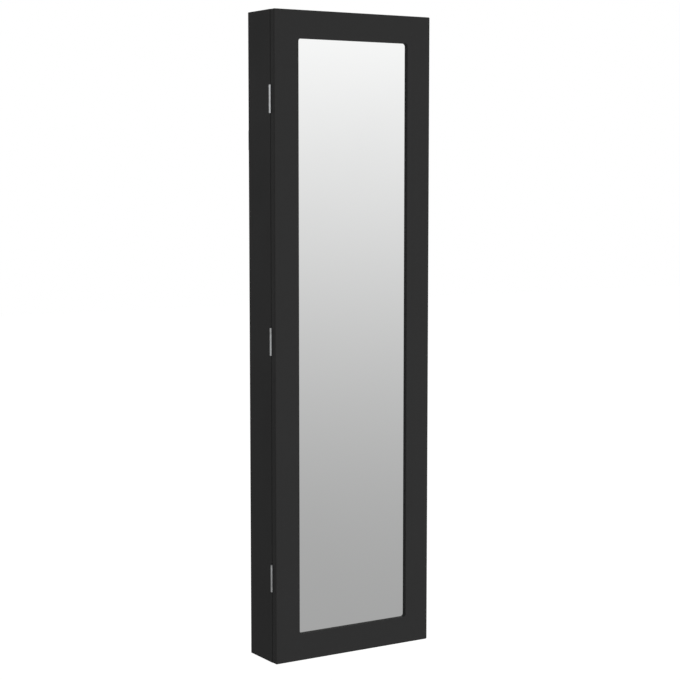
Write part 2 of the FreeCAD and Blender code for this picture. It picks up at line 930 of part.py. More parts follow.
def door_frame():
    """The door board, with the mirror's opening, its rebate and all the fixing holes."""
    board = block(-outer_half, outer_half, door_front, door_back, 0, cabinet_height)
    front = [edge for edge in board.Edges if edge.CenterOfMass.y < door_back - TOUCH]
    board = board.makeFillet(door_easing, front)
    rear = [edge for edge in board.Edges if edge.CenterOfMass.y > door_back - TOUCH]
    board = board.makeFillet(edge_easing, rear)
    board = board.cut(
        rounded_slab(
            opening_width, opening_height, opening_radius, door_front, door_back, 0, middle_height
        )
    )
    rim = [e for e in board.Edges if on_opening_rim(e)]
    board = board.makeFillet(opening_easing, rim)
    rebate = rounded_slab(
        rebate_width, rebate_height, rebate_radius, glass_front, door_back, 0, middle_height
    )
    cuts = [rebate] + hinge_cuts(LEFT) + post_pilots()
    for edge, out in clip_places():
        place = clip_screw_place(edge, out)
        grip = clip_thickness + pan_screw_grip
        cuts.append(pilot(place, TO_ROOM, pan_screw_shank, grip))
    cuts.append(pilot(strike_place(), TO_ROOM, hinge_screw_shank, door_leaf_screw_length))
    return board.cut(cuts)


def on_opening_rim(edge):
    """Whether an edge of the door board runs round the front of the mirror's opening."""
    centre = edge.CenterOfMass
    inside_x = abs(centre.x) < opening_width / 2 + TOUCH
    inside_z = abs(centre.z - middle_height) < opening_height / 2 + TOUCH
    return abs(centre.y - door_front) < TOUCH and inside_x and inside_z


def rebate_sheet(y0, y1):
    """A sheet that lies in the door's rebate, from y0 to y1."""
    width = rebate_width - 2 * glass_fit
    height = rebate_height - 2 * glass_fit
    return rounded_slab(width, height, rebate_radius - glass_fit, y0, y1, 0, middle_height)


def earring_rail(row):
    """A thin steel rail. Rows with holes for studs alternate with rows of slots for hooks."""
    z = earring_rail_height(row)
    y0 = door_back + earring_post_length
    y1 = y0 + earring_rail_thickness
    rail = rounded_slab(2 * strip_half, earring_rail_width, earring_rail_radius, y0, y1, 0, z)
    cuts = []
    for x in spread(earring_count, earring_pitch):
        if row % 2 == 0:
            base = Vector(x, y0, z)
            cuts.append(Part.makeCylinder(earring_hole_radius, y1 - y0, base, TO_WALL))
        else:
            cuts.append(upright_slot(earring_hole_radius, earring_slot_length, y0, y1, x, z))
    for place in post_places(z, earring_post_length + earring_rail_thickness):
        cuts.append(pilot(place, TO_ROOM, pan_screw_shank, earring_rail_thickness))
    return rail.cut(cuts)


def posts(heights, length):
    """The tubular spacers of a rail or strip."""
    tubes = []
    for z in heights:
        for place in post_places(z, 0):
            tube = Part.makeCylinder(post_radius, length, place, TO_WALL)
            bore = Part.makeCylinder(pan_screw_shank + screw_fit, length, place, TO_WALL)
            tubes.append(tube.cut(bore))
    return tubes


def post_screws(heights, length):
    """The screws through rail and posts into the door."""
    one = pan_screw(length + pan_screw_grip)
    return [placed(one, place, TO_ROOM) for z in heights for place in post_places(z, length)]


def bracelet_hook_places():
    """Where the bracelet hooks leave their strip."""
    y = door_back + bracelet_post_length + bracelet_strip_thickness
    offsets = spread(bracelet_hook_count, bracelet_hook_pitch)
    return [Vector(x, y, bracelet_strip_middle) for x in offsets]


def bracelet_strip():
    """The strip that carries the bracelet hooks."""
    z = bracelet_strip_middle
    y0 = door_back + bracelet_post_length
    y1 = y0 + bracelet_strip_thickness
    strip = rounded_slab(2 * strip_half, bracelet_strip_width, earring_rail_radius, y0, y1, 0, z)
    cuts = hook_holes(bracelet_hook_places(), bracelet_hook_seat, TO_ROOM)
    for place in post_places(z, bracelet_post_length + bracelet_strip_thickness):
        cuts.append(pilot(place, TO_ROOM, pan_screw_shank, bracelet_strip_thickness))
    return strip.cut(cuts)


def bracelet_hooks():
    """The hooks of the bracelet strip, turned to face the inside of the case."""
    one = hook(bracelet_hook_reach, bracelet_hook_seat)
    one.rotate(Vector(0, 0, 0), UP, 180)
    return [one.translated(place) for place in bracelet_hook_places()]


def door_pocket():
    """The fabric pocket inside the door, open at its top."""
    y1 = door_back + pocket_depth
    half = pocket_width / 2
    top = pocket_bottom + pocket_height
    outer = block(-half, half, door_back, y1, pocket_bottom, top)
    outer = outer.makeFillet(pocket_corner, front_and_foot_edges(outer, y1, pocket_bottom))
    inner = block(
        pocket_wall - half,
        half - pocket_wall,
        door_back + pocket_wall,
        y1 - pocket_wall,
        pocket_bottom + pocket_wall,
        top,
    )
    radius = pocket_corner - pocket_wall
    edges = front_and_foot_edges(inner, y1 - pocket_wall, pocket_bottom + pocket_wall)
    return outer.cut(inner.makeFillet(radius, edges))


def front_and_foot_edges(shape, y_front, z_foot):
    """The edges of a box that bound its free face at the sides and the bottom."""
    at_front = [edge for edge in shape.Edges if abs(edge.CenterOfMass.y - y_front) < TOUCH]
    upright = [edge for edge in at_front if runs_along(edge, UP)]
    at_foot = [edge for edge in at_front if abs(edge.CenterOfMass.z - z_foot) < TOUCH]
    return upright + at_foot


# Assembly


def case_pieces():
    """Every piece that stays with the case, by name."""
    pieces = {
        "side_panel_left": side_panel(LEFT),
        "side_panel_right": side_panel(RIGHT),
        "top_panel": end_panel(inner_top),
        "bottom_panel": end_panel(0),
        "back_panel": back_panel(),
        "back_lining": back_lining(),
        "corner_dowels": corner_dowels(),
        "shelf_dowels": shelf_dowels(),
        "guard_rods": guard_rods(),
        "necklace_rail": necklace_rail(),
        "necklace_rail_dowels": rail_dowels(),
        "necklace_hooks": necklace_hooks(),
        "ring_tray": ring_tray(),
        "ring_tray_screws": tray_screws(),
        "ring_rolls": ring_rolls(),
        "hanger_plate_left": hanger_plate(LEFT),
        "hanger_plate_right": hanger_plate(RIGHT),
        "hanger_screws": hanger_screws(),
        "wall_pads": wall_pads(),
        "catch_housing": catch_housing(),
        "catch_magnet": catch_magnet(),
        "catch_poles": catch_poles(),
        "catch_screws": catch_screws(),
        "door_buffers": door_buffers(),
        "hinge_case_screws": hinge_screws(RIGHT),
    }
    for level, name in enumerate(("lower", "middle", "upper"), 1):
        pieces["shelf_" + name] = shelf(level)
    for z, name in zip(hinge_heights(), ("bottom", "middle", "top")):
        pieces["hinge_case_leaf_" + name] = hinge_leaf(z, RIGHT, 0)
        pieces["hinge_pin_" + name] = barrel(pin_radius, z, hinge_length)
    return pieces


def door_pieces():
    """Every piece that swings with the door, by name."""
    rail_heights = [earring_rail_height(row) for row in range(earring_rail_count)]
    strip_reach = bracelet_post_length + bracelet_strip_thickness
    rail_reach = earring_post_length + earring_rail_thickness
    pieces = {
        "door_frame": door_frame(),
        "mirror_glass": rebate_sheet(glass_front, glass_back),
        "mirror_backing": rebate_sheet(glass_back, backing_back),
        "door_lining": rebate_sheet(backing_back, door_back),
        "mirror_clips": mirror_clips(),
        "mirror_clip_screws": clip_screws(),
        "earring_rail_posts": posts(rail_heights, earring_post_length),
        "earring_rail_screws": post_screws(rail_heights, rail_reach),
        "bracelet_strip": bracelet_strip(),
        "bracelet_strip_posts": posts([bracelet_strip_middle], bracelet_post_length),
        "bracelet_strip_screws": post_screws([bracelet_strip_middle], strip_reach),
        "bracelet_hooks": bracelet_hooks(),
        "door_pocket": door_pocket(),
        "strike_plate": strike_plate(),
        "strike_screw": strike_screw(),
        "hinge_door_screws": hinge_screws(LEFT),
    }
    for row in range(earring_rail_count):
        pieces["earring_rail_" + str(row + 1)] = earring_rail(row)
    for z, name in zip(hinge_heights(), ("bottom", "middle", "top")):
        pieces["hinge_door_leaf_" + name] = hinge_leaf(z, LEFT, 1)
    return pieces


def main():
    """Makes every piece, lowers it to the hanging height and writes its file."""
    os.makedirs("parts", exist_ok=True)
    pieces = case_pieces()
    pieces.update(door_pieces())
    for name, made in pieces.items():
        shape = Part.makeCompound(made) if isinstance(made, list) else made
        shape.translate(Vector(0, 0, -hang_height))
        shape.exportStep("parts/" + name + ".step")
    print(len(pieces), "pieces written")


main()
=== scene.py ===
"""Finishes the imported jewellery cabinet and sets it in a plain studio.

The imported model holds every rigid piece, and these are only given their finishes here.
The velvet pocket inside the door and the velvet rolls of the ring tray are modelled as
cloth, and stand for their plain solids. Everything is in metres, in the frame of the
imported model: x runs to the right, y towards the wall and z up.
"""

import logging
import math
from abc import ABC, abstractmethod
from dataclasses import dataclass, field
from enum import Enum
from typing import ClassVar

import bmesh
import bpy
import numpy as np
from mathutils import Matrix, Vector, noise


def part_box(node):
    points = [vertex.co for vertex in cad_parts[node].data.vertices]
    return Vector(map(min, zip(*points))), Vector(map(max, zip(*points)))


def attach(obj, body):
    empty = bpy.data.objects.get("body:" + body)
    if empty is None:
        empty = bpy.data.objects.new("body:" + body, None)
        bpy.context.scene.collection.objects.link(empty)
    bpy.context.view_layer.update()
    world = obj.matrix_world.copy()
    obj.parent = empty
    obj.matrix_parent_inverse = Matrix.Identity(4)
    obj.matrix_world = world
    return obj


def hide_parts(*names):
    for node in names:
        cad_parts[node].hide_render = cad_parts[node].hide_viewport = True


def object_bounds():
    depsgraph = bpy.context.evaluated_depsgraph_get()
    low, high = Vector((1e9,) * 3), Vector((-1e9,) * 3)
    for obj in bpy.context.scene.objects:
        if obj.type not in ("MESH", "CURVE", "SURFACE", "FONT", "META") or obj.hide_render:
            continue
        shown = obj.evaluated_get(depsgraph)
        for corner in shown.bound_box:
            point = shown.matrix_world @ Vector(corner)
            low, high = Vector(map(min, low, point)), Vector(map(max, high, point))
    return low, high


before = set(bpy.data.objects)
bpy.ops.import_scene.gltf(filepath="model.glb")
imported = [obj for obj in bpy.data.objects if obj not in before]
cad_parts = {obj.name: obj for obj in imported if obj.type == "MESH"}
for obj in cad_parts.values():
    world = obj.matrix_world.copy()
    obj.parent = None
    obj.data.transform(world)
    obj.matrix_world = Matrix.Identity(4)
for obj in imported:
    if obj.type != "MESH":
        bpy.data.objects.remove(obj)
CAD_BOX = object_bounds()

MM = 0.001
EVENLY = (1.0, 1.0, 1.0)
WHITE = (1.0, 1.0, 1.0)
PALE_DUST = (0.3, 0.3, 0.3)
LEVEL = (1.0, 1.0, 0.0)
OUT_OF_DOOR = Vector((0.0, 1.0, 0.0))

log = logging.getLogger("cabinet")

Point = tuple[float, float, float]
Colour = tuple[float, float, float]
Span = tuple[float, float]
Socket = bpy.types.NodeSocket
Value = Socket | float | int | tuple

# Parts of a noise's values over which an effect comes in
FULL: Span = (0.0, 1.0)
WIDE: Span = (0.25, 0.75)
MIDDLE: Span = (0.3, 0.7)
UPPER: Span = (0.4, 0.9)


class Slot(str, Enum):
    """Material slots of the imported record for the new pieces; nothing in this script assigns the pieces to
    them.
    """

    ROLL = "roll_velvet"
    POCKET = "pocket_velvet"


class Body(str, Enum):
    """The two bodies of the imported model."""

    CASE = "case"
    DOOR = "door"


class Run(Enum):
    """The way that a finish's grain or brushing runs on a piece."""

    EVEN = EVENLY
    ALONG_X = (0.04, 1.0, 1.0)
    ALONG_Z = (1.0, 1.0, 0.04)


class Mixing(Enum):
    """What a mix node mixes: its data type, its two sockets and its output."""

    NUMBER = ("FLOAT", 2, 3, 0)
    COLOUR = ("RGBA", 6, 7, 2)


# Shader graphs


class Graph:
    """Adds nodes to one node tree and links them up."""

    def __init__(self, tree: bpy.types.NodeTree) -> None:
        """Takes the tree to draw in."""
        self.tree = tree

    @classmethod
    def afresh(cls, owner: bpy.types.Material | bpy.types.World) -> "Graph":
        """Clears the nodes of a material or of the world.

        Args:
            owner: the material or the world.

        Returns:
            A graph to draw its new nodes in.
        """
        owner.use_nodes = True
        owner.node_tree.nodes.clear()
        return cls(owner.node_tree)

    def add(
        self, kind: str, inputs: dict[str | int, Value] | None = None, **settings: object
    ) -> bpy.types.Node:
        """Adds a node.

        Args:
            kind: the node's type, such as ShaderNodeMath.
            inputs: sockets by name or index, each with an output to link or its own value.
            settings: properties of the node.

        Returns:
            The new node.
        """
        node = self.tree.nodes.new(kind)
        for name, value in settings.items():
            setattr(node, name, value)
        for name, value in (inputs or {}).items():
            self.feed(node.inputs[name], value)
        return node

    def feed(self, socket: Socket, value: Value) -> None:
        """Links a socket to an output, or sets the socket's own value.

        Args:
            socket: the socket to feed.
            value: another node's output, or a plain value.
        """
        if isinstance(value, Socket):
            self.tree.links.new(value, socket)
        elif socket.type == "RGBA":
            socket.default_value = (*value, 1.0)
        else:
            socket.default_value = value

    def math(self, operation: str, first: Value, second: Value) -> Socket:
        """Returns a sum, product or other operation of two values."""
        return self.add("ShaderNodeMath", {0: first, 1: second}, operation=operation).outputs[0]

    def fit(self, value: Value, source: Span, target: tuple[Value, Value] = FULL) -> Socket:
        """Maps a value from one range to another, smoothly and without going past its ends.

        Args:
            value: the value to map.
            source: the range that it comes from.
            target: what the two ends of that range become.

        Returns:
            The mapped value.
        """
        ends = {"From Min": source[0], "From Max": source[1], "To Min": target[0], "To Max": target[1]}
        node = self.add("ShaderNodeMapRange", {"Value": value, **ends}, interpolation_type="SMOOTHSTEP")
        return node.outputs["Result"]

    def mix(self, share: Value, first: Value, second: Value, kind: Mixing = Mixing.COLOUR) -> Socket:
        """Mixes two colours or two numbers.

        Args:
            share: the share of the second, from 0 to 1.
            first: what a share of 0 gives.
            second: what a share of 1 gives.
            kind: whether they are colours or numbers.

        Returns:
            The mixed colour or number.
        """
        data_type, low, high, result = kind.value
        node = self.add("ShaderNodeMix", data_type=data_type)
        for index, value in ((0, share), (low, first), (high, second)):
            self.feed(node.inputs[index], value)
        return node.outputs[result]

    def place(self, run: Value, scale: Value) -> Socket:
        """Lays a texture's coordinates on a piece.

        Args:
            run: how fine they are along each axis.
            scale: how fine they are altogether, in features to a metre.

        Returns:
            Coordinates that stay with the piece.
        """
        own = self.add("ShaderNodeTexCoord").outputs["Object"]
        stretched = self.add("ShaderNodeVectorMath", {0: own, 1: run}, operation="MULTIPLY").outputs[0]
        scaled = self.add("ShaderNodeVectorMath", {0: stretched, "Scale": scale}, operation="SCALE")
        return scaled.outputs[0]

    def noise(
        self, coordinates: Value, detail: float, scale: float = 1.0, roughness: float = 0.5
    ) -> Socket:
        """Draws a noise.

        Args:
            coordinates: where it is looked up.
            detail: how many finer layers it has.
            scale: how fine it is, on top of the coordinates' own scale.
            roughness: how strong the finer layers are.

        Returns:
            The noise, from 0 to 1.
        """
        inputs = {"Vector": coordinates, "Scale": scale, "Detail": detail, "Roughness": roughness}
        return self.add("ShaderNodeTexNoise", inputs).outputs["Fac"]

    def bump(self, height: Value, strength: float, depth: float) -> Socket:
        """Returns the normal of a surface with a height on it, whose full depth is in metres."""
        inputs = {"Height": height, "Strength": strength, "Distance": depth}
        return self.add("ShaderNodeBump", inputs).outputs["Normal"]


class Effect(ABC):
    """A surface effect that several finishes share, as one shader node group.

    Attributes:
        name: the group's name.
        inputs: its inputs with their usual values.
        outputs: its outputs.
    """

    name: ClassVar[str]
    inputs: ClassVar[dict[str, float | tuple]]
    outputs: ClassVar[tuple[str, ...]]

    @classmethod
    def tree(cls) -> bpy.types.NodeTree:
        """Builds the effect's node group when it is first asked for.

        Returns:
            The one group that every material shares.
        """
        found = bpy.data.node_groups.get(cls.name)
        if found:
            return found
        group = bpy.data.node_groups.new(cls.name, "ShaderNodeTree")
        for name, value in cls.inputs.items():
            kind = "NodeSocketVector" if isinstance(value, tuple) else "NodeSocketFloat"
            socket = group.interface.new_socket(name, in_out="INPUT", socket_type=kind)
            socket.default_value = value
        for name in cls.outputs:
            group.interface.new_socket(name, in_out="OUTPUT", socket_type="NodeSocketFloat")
        graph = Graph(group)
        given = graph.add("NodeGroupInput")
        graph.add("NodeGroupOutput", cls.wire(graph, given.outputs))
        return group

    @classmethod
    def on(cls, graph: Graph, **values: Value) -> bpy.types.NodeOutputs:
        """Places the group in a material.

        Args:
            graph: the material's graph.
            values: the group's inputs, each named in lower case.

        Returns:
            The group's outputs.
        """
        inputs = {name.replace("_", " ").capitalize(): value for name, value in values.items()}
        return graph.add("ShaderNodeGroup", inputs, node_tree=cls.tree()).outputs

    @classmethod
    @abstractmethod
    def wire(cls, graph: Graph, given: bpy.types.NodeOutputs) -> dict[str, Socket]:
        """Draws the group's inside, and returns what each output gives."""


class Grain(Effect):
    """Fine unevenness, such as the ripple of paint or the brushing of metal, and broad drift.

    Attributes:
        layers: how many finer layers the grain has.
        layer_strength: how strong they are.
    """

    name = "Grain"
    inputs = {"Scale": 400.0, "Run": EVENLY, "Drift scale": 8.0}
    outputs = ("Height", "Drift")
    layers: ClassVar[float] = 3.0
    layer_strength: ClassVar[float] = 0.55

    @classmethod
    def wire(cls, graph: Graph, given: bpy.types.NodeOutputs) -> dict[str, Socket]:
        """Draws a fine noise along the run, and a broad one.

        Args:
            graph: the group's graph.
            given: the group's inputs.

        Returns:
            The grain's height and the drift.
        """
        along = graph.place(given["Run"], given["Scale"])
        fine = graph.noise(along, detail=cls.layers, roughness=cls.layer_strength)
        broad = graph.noise(graph.place(EVENLY, given["Drift scale"]), detail=2.0)
        return {"Height": fine, "Drift": broad}


class EdgeWear(Effect):
    """Where the edges of a piece have been rubbed, in patches.

    Attributes:
        turn: how far the surface has turned where wear starts and where it is full.
        patchy: the part of the patches' noise over which wear fades in.
        looks: how many looks round a place find its edges.
        layers: how many finer layers the patches have.
        layer_strength: how strong they are.
    """

    name = "Edge wear"
    inputs = {"Width": 0.6 * MM, "Patch scale": 60.0}
    outputs = ("Mask",)
    turn: ClassVar[Span] = (0.015, 0.16)
    patchy: ClassVar[Span] = (0.42, 0.68)
    looks: ClassVar[int] = 4
    layers: ClassVar[float] = 4.0
    layer_strength: ClassVar[float] = 0.6

    @classmethod
    def wire(cls, graph: Graph, given: bpy.types.NodeOutputs) -> dict[str, Socket]:
        """Draws the turn of the surface near an edge, broken up by patches.

        Args:
            graph: the group's graph.
            given: the group's inputs.

        Returns:
            The mask of the rubbed places.
        """
        rounded = graph.add("ShaderNodeBevel", {"Radius": given["Width"]}, samples=cls.looks).outputs[0]
        normal = graph.add("ShaderNodeNewGeometry").outputs["Normal"]
        agree = graph.add("ShaderNodeVectorMath", {0: rounded, 1: normal}, operation="DOT_PRODUCT")
        edge = graph.fit(graph.math("SUBTRACT", 1.0, agree.outputs["Value"]), cls.turn)
        coordinates = graph.place(EVENLY, given["Patch scale"])
        patches = graph.noise(coordinates, detail=cls.layers, roughness=cls.layer_strength)
        return {"Mask": graph.math("MULTIPLY", edge, graph.fit(patches, cls.patchy))}


class Dust(Effect):
    """Thin dust, more of it on faces that look up.

    Attributes:
        patchy: the part of the broad noise over which patches of dust fade in.
        thinnest: how much of the dust is left between the patches.
        speckled: the part of the fine noise over which specks fade in.
        patch_share: scale of the patches against the specks'.
        speck_share: scale of the specks.
        layers: how many finer layers the patches have.
    """

    name = "Dust"
    inputs = {"Scale": 90.0, "On walls": 0.15}
    outputs = ("Mask",)
    patchy: ClassVar[Span] = (0.35, 0.75)
    thinnest: ClassVar[float] = 0.25
    speckled: ClassVar[Span] = (0.6, 0.8)
    patch_share: ClassVar[float] = 0.2
    speck_share: ClassVar[float] = 14.0
    layers: ClassVar[float] = 3.0

    @classmethod
    def wire(cls, graph: Graph, given: bpy.types.NodeOutputs) -> dict[str, Socket]:
        """Draws specks and soft patches, weighed by how far the face looks up.

        Args:
            graph: the group's graph.
            given: the group's inputs.

        Returns:
            The mask of the dust.
        """
        normal = graph.add("ShaderNodeNewGeometry").outputs["Normal"]
        up = graph.add("ShaderNodeSeparateXYZ", {"Vector": normal}).outputs["Z"]
        settled = graph.fit(up, FULL, (given["On walls"], 1.0))
        coordinates = graph.place(EVENLY, given["Scale"])
        broad = graph.noise(coordinates, scale=cls.patch_share, detail=cls.layers)
        fine = graph.noise(coordinates, scale=cls.speck_share, detail=2.0)
        patches = graph.fit(broad, cls.patchy, (cls.thinnest, 1.0))
        specks = graph.fit(fine, cls.speckled)
        return {"Mask": graph.math("MULTIPLY", settled, graph.math("MULTIPLY", patches, specks))}


class Nap(Effect):
    """The short pile of velvet and felt: fine tufts, and strokes brushed one way or the other.

    Attributes:
        tuft_reach: how far from a tuft's middle its height falls to nothing.
        fuzz_share: how strong the finer fuzz on the tufts is.
        fuzz_scale: how fine it is.
        stroke_run: strokes are longer up and down than across.
        layers: how many finer layers the strokes have.
    """

    name = "Nap"
    inputs = {"Scale": 2600.0, "Stroke scale": 40.0}
    outputs = ("Height", "Stroke")
    tuft_reach: ClassVar[float] = 0.8
    fuzz_share: ClassVar[float] = 0.5
    fuzz_scale: ClassVar[float] = 2.3
    stroke_run: ClassVar[tuple] = (1.0, 1.0, 0.4)
    layers: ClassVar[float] = 3.0

    @classmethod
    def wire(cls, graph: Graph, given: bpy.types.NodeOutputs) -> dict[str, Socket]:
        """Draws the tufts as cells and the strokes as a stretched noise.

        Args:
            graph: the group's graph.
            given: the group's inputs.

        Returns:
            The pile's height, and the way that it lies.
        """
        coordinates = graph.place(EVENLY, given["Scale"])
        cells = graph.add("ShaderNodeTexVoronoi", {"Vector": coordinates, "Scale": 1.0})
        tufts = graph.fit(cells.outputs["Distance"], (0.0, cls.tuft_reach), (1.0, 0.0))
        fuzz = graph.noise(coordinates, scale=cls.fuzz_scale, detail=2.0)
        height = graph.math("ADD", tufts, graph.math("MULTIPLY", fuzz, cls.fuzz_share))
        along = graph.place(cls.stroke_run, given["Stroke scale"])
        strokes = graph.noise(along, detail=cls.layers)
        return {"Height": height, "Stroke": graph.fit(strokes, MIDDLE)}


class Fibres(Effect):
    """Long fibres that run one way, as in wood and pressed board.

    Attributes:
        flecked: the part of the flecks' noise over which a fleck fades in.
        strand_layers: how many finer layers the fibres have.
        strand_strength: how strong they are.
        fleck_layers: how many finer layers the flecks have.
        fleck_strength: how strong they are.
    """

    name = "Fibres"
    inputs = {"Scale": 900.0, "Run": EVENLY, "Fleck scale": 160.0}
    outputs = ("Height", "Fleck")
    flecked: ClassVar[Span] = (0.45, 0.7)
    strand_layers: ClassVar[float] = 5.0
    strand_strength: ClassVar[float] = 0.65
    fleck_layers: ClassVar[float] = 6.0
    fleck_strength: ClassVar[float] = 0.7

    @classmethod
    def wire(cls, graph: Graph, given: bpy.types.NodeOutputs) -> dict[str, Socket]:
        """Draws the fibres as a stretched noise and the flecks as a coarser one.

        Args:
            graph: the group's graph.
            given: the group's inputs.

        Returns:
            The fibres' height and the mask of the flecks.
        """
        fine, broad = (graph.place(given["Run"], given[name]) for name in ("Scale", "Fleck scale"))
        strands = graph.noise(fine, detail=cls.strand_layers, roughness=cls.strand_strength)
        coarse = graph.noise(broad, detail=cls.fleck_layers, roughness=cls.fleck_strength)
        return {"Height": strands, "Fleck": graph.fit(coarse, cls.flecked)}


# Finishes


@dataclass(frozen=True)
class Finish(ABC):
    """A finish, which makes one material.

    Attributes:
        name: a plain name for the material.
    """

    name: str

    def material(self) -> bpy.types.Material:
        """Makes the finish's material when it is first asked for.

        Returns:
            The one material that every piece with this finish shares.
        """
        found = bpy.data.materials.get(self.name)
        if found:
            return found
        made = bpy.data.materials.new(self.name)
        graph = Graph.afresh(made)
        shader = graph.add("ShaderNodeBsdfPrincipled", self.wire(graph))
        graph.add("ShaderNodeOutputMaterial", {"Surface": shader.outputs["BSDF"]})
        return made

    @abstractmethod
    def wire(self, graph: Graph) -> dict[str, Value]:
        """Draws the finish, and returns what each socket of its shader gets."""


@dataclass(frozen=True)
class SatinPaint(Finish):
    """Sprayed satin paint over fibreboard, rubbed a little along its edges.

    Attributes:
        colour: the paint.
        drifted: the paint where it lies a little thinner.
        rubbed: its rubbed edges.
        dust: the dust on it.
        rub_share: how far the edges are rubbed.
        rub_width: how wide the rubbed edges are.
        rub_patches: how fine the rubbed patches are.
        dust_share: how much the dust hides.
        dust_scale: how fine the dust is.
        dust_on_walls: how much of it stays on upright faces.
        smooth: roughness where the paint is smoothest.
        rough: roughness where it is dullest.
        specular: how glossy the paint is.
        drift_scale: how broad the drift is.
        ripple_scale: how fine the ripple of the spray is.
        ripple_depth: how deep it is.
        ripple_strength: how much of it shows.
    """

    colour: Colour = (0.0245, 0.0245, 0.0245)
    drifted: Colour = (0.0265, 0.0265, 0.0266)
    rubbed: Colour = (0.055, 0.054, 0.052)
    dust: Colour = (0.16, 0.155, 0.15)
    rub_share: float = 0.3
    rub_width: float = 0.7 * MM
    rub_patches: float = 45.0
    dust_share: float = 0.1
    dust_scale: float = 110.0
    dust_on_walls: float = 0.05
    smooth: float = 0.52
    rough: float = 0.62
    specular: float = 0.05
    drift_scale: float = 7.0
    ripple_scale: float = 520.0
    ripple_depth: float = 0.02 * MM
    ripple_strength: float = 0.5

    def wire(self, graph: Graph) -> dict[str, Value]:
        """Draws the ripple, the drift of the gloss, the rubbed edges and the dust.

        Args:
            graph: the material's graph.

        Returns:
            What each socket of the shader gets.
        """
        grain = Grain.on(graph, scale=self.ripple_scale, drift_scale=self.drift_scale)
        wear = EdgeWear.on(graph, width=self.rub_width, patch_scale=self.rub_patches)["Mask"]
        dust = Dust.on(graph, scale=self.dust_scale, on_walls=self.dust_on_walls)["Mask"]
        paint = graph.mix(grain["Drift"], self.colour, self.drifted)
        paint = graph.mix(graph.math("MULTIPLY", wear, self.rub_share), paint, self.rubbed)
        return {
            "Base Color": graph.mix(graph.math("MULTIPLY", dust, self.dust_share), paint, self.dust),
            "Roughness": graph.fit(grain["Drift"], WIDE, (self.smooth, self.rough)),
            "Specular IOR Level": self.specular,
            "Normal": graph.bump(grain["Height"], self.ripple_strength, self.ripple_depth),
        }


@dataclass(frozen=True)
class SilveredGlass(Finish):
    """A clean mirror, with the faintest haze and dust.

    Attributes:
        silver: the mirror's tint.
        hazed: its tint where it is hazed.
        haze: roughness where it is hazed.
        hazy: the part of the drift over which haze comes in.
        drift_scale: how broad the haze is.
        dust_scale: how fine the dust is.
        dust_on_walls: how much of it stays on upright faces.
        dust_roughness: how rough the dust makes the glass.
    """

    silver: Colour = (0.93, 0.935, 0.932)
    hazed: Colour = (0.915, 0.92, 0.917)
    haze: float = 0.02
    hazy: Span = (0.45, 0.8)
    drift_scale: float = 5.0
    dust_scale: float = 60.0
    dust_on_walls: float = 0.2
    dust_roughness: float = 0.05

    def wire(self, graph: Graph) -> dict[str, Value]:
        """Draws the haze as a broad drift with a few specks of dust.

        Args:
            graph: the material's graph.

        Returns:
            What each socket of the shader gets.
        """
        drift = Grain.on(graph, drift_scale=self.drift_scale)["Drift"]
        dust = Dust.on(graph, scale=self.dust_scale, on_walls=self.dust_on_walls)["Mask"]
        haze = graph.fit(drift, self.hazy, (0.0, self.haze))
        return {
            "Base Color": graph.mix(graph.fit(drift, UPPER), self.silver, self.hazed),
            "Roughness": graph.math("ADD", haze, graph.math("MULTIPLY", dust, self.dust_roughness)),
            "Metallic": 1.0,
        }


@dataclass(frozen=True)
class PlatedSteel(Finish):
    """Plated steel, brushed along a run or polished.

    Attributes:
        colour: the plating.
        dulled: the plating where it has dulled.
        dulling: the part of the drift over which it dulls.
        bright: its worn edges.
        polished: roughness where it is smoothest.
        dull: roughness where it is dullest.
        run: the way that it is brushed.
        grain_scale: how fine the brushing is.
        grain_depth: how deep it is.
        grain_strength: how much of it shows.
        drift_scale: how broad the dulled areas are.
        wear_share: how bright the worn edges are.
        wear_width: how wide they are.
        wear_patches: how fine their patches are.
    """

    colour: Colour = (0.56, 0.57, 0.58)
    dulled: Colour = (0.43, 0.43, 0.43)
    dulling: Span = (0.35, 0.75)
    bright: Colour = (0.75, 0.75, 0.75)
    polished: float = 0.28
    dull: float = 0.42
    run: Run = Run.EVEN
    grain_scale: float = 1500.0
    grain_depth: float = 0.012 * MM
    grain_strength: float = 0.4
    drift_scale: float = 70.0
    wear_share: float = 0.5
    wear_width: float = 0.25 * MM
    wear_patches: float = 200.0

    def wire(self, graph: Graph) -> dict[str, Value]:
        """Draws the brushing, the dulled areas and the brighter worn edges.

        Args:
            graph: the material's graph.

        Returns:
            What each socket of the shader gets.
        """
        grain = Grain.on(graph, scale=self.grain_scale, run=self.run.value, drift_scale=self.drift_scale)
        wear = EdgeWear.on(graph, width=self.wear_width, patch_scale=self.wear_patches)["Mask"]
        metal = graph.mix(graph.fit(grain["Drift"], self.dulling), self.colour, self.dulled)
        return {
            "Base Color": graph.mix(graph.math("MULTIPLY", wear, self.wear_share), metal, self.bright),
            "Roughness": graph.fit(grain["Height"], MIDDLE, (self.polished, self.dull)),
            "Metallic": 1.0,
            "Normal": graph.bump(grain["Height"], self.grain_strength, self.grain_depth),
        }


